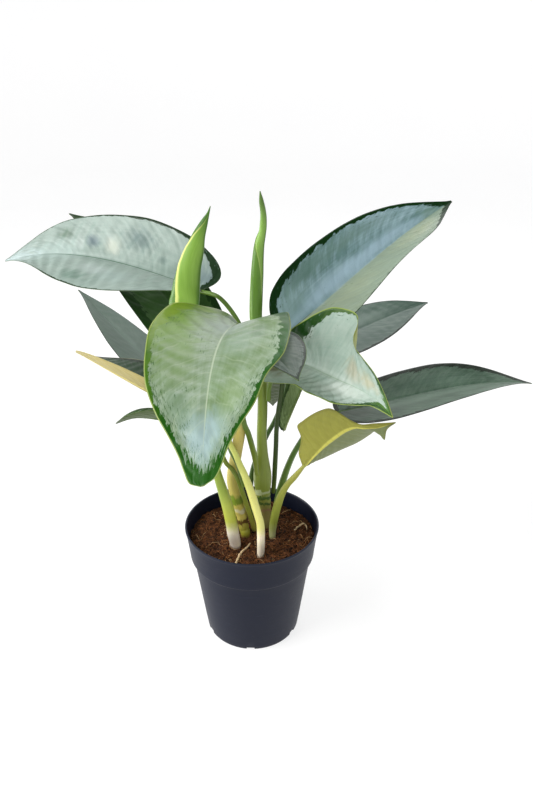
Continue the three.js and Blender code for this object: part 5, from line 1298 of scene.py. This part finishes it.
fc = m.mixc(m.math('MULTIPLY', m.ss(U, .86, .93), .9), fc, srgb(226, 190, 140))
fn_ = m.noise(m.obj(), 700.0, 2.0, .6)
fc = m.mixc(m.math('MULTIPLY', fn_, .4), fc, srgb(60, 36, 24))
m.bsdf(fc, .85, m.bump(fn_, .4, .0002), **{'Specular IOR Level': .25})
add_piece(fb, None, m.mat)

# crumbs of mix
cv, cf, cuv = [], [], []
ico = [(0, 0, 1)] + [(math.cos(t) * .894, math.sin(t) * .894, .447) for t in np.arange(5) * 2 * math.pi / 5] + [(math.cos(t) * .894, math.sin(t) * .894, -.447) for t in (np.arange(5) + .5) * 2 * math.pi / 5] + [(0, 0, -1)]
icf = []
for i in range(5):
    j = (i + 1) % 5
    icf += [(0, 1 + i, 1 + j), (1 + i, 6 + i, 1 + j), (1 + j, 6 + i, 6 + j), (11, 6 + j, 6 + i)]
for _ in range(1900):
    a, rr = rng.random() * 2 * math.pi, 55.2 * math.sqrt(rng.random())
    x, y = rr * math.cos(a), rr * math.sin(a)
    sz = .35 + 1.1 * rng.random() ** 3
    z = soil_h(x, y) + sz * .25
    st = np.array([1, .55 + .45 * rng.random(), .45 + .4 * rng.random()]) * sz
    ra, rb = rng.random() * 6.28, rng.random() * 6.28
    o = len(cv)
    u0 = rng.random()
    for p in ico:
        p = np.array(p) * st * (1 + .35 * (rng.random() - .5))
        p = np.array([p[0] * math.cos(ra) - p[1] * math.sin(ra), p[0] * math.sin(ra) + p[1] * math.cos(ra), p[2]])
        p = np.array([p[0], p[1] * math.cos(rb) - p[2] * math.sin(rb), p[1] * math.sin(rb) + p[2] * math.cos(rb)])
        q = np.array([x, y, z]) + p
        hr = math.hypot(q[0], q[1])
        if hr > 56.0:
            q[0] *= 56.0 / hr; q[1] *= 56.0 / hr
        cv.append(q); cuv.append((u0, 0))
    cf += [[o + t for t in f] for f in icf]
cr_ = mesh_object('mix_crumbs', cv, cf, cuv)
m = NT('crumb_skin')
U, Vv = m.uv('leaf')
fn_ = m.noise(m.obj(), 900.0, 3.0, .7)
fc = m.mixc(U, srgb(18, 9, 6), srgb(120, 72, 42))
fc = m.mixc(m.math('MULTIPLY', fn_, .5), fc, srgb(48, 26, 16))
m.bsdf(fc, .93, m.bump(fn_, .6, .0004), **{'Specular IOR Level': .2})
add_piece(cr_, None, m.mat)

# loose pale roots
for name, rows in ROOTS.items():
    rows = np.array(rows, float)
    u = np.linspace(0, len(rows) - 1, 40)
    P4 = catmull(rows, u)
    P4[:, 2] = [soil_h(x, y) + r * .7 + .25 for x, y, r in zip(P4[:, 0], P4[:, 1], P4[:, 3])]
    ob = merged_tubes(name + '_fine', [(P4[:, :3], np.maximum(P4[:, 3] * (1 + .12 * np.sin(u * 9)), .15))], 12)
    m = NT(name + '_skin')
    rn = m.noise(m.obj(), 500.0, 3.0, .6)
    rc = m.mixc(rn, srgb(196, 158, 112), srgb(236, 214, 176))
    m.bsdf(rc, .6, m.bump(rn, .4, .0003), **{'Specular IOR Level': .4})
    add_piece(ob, name, m.mat)

bpy.context.scene.view_settings.view_transform = 'Standard'
bpy.context.scene.view_settings.look = 'None'
bpy.context.scene.view_settings.exposure = EXPOSURE
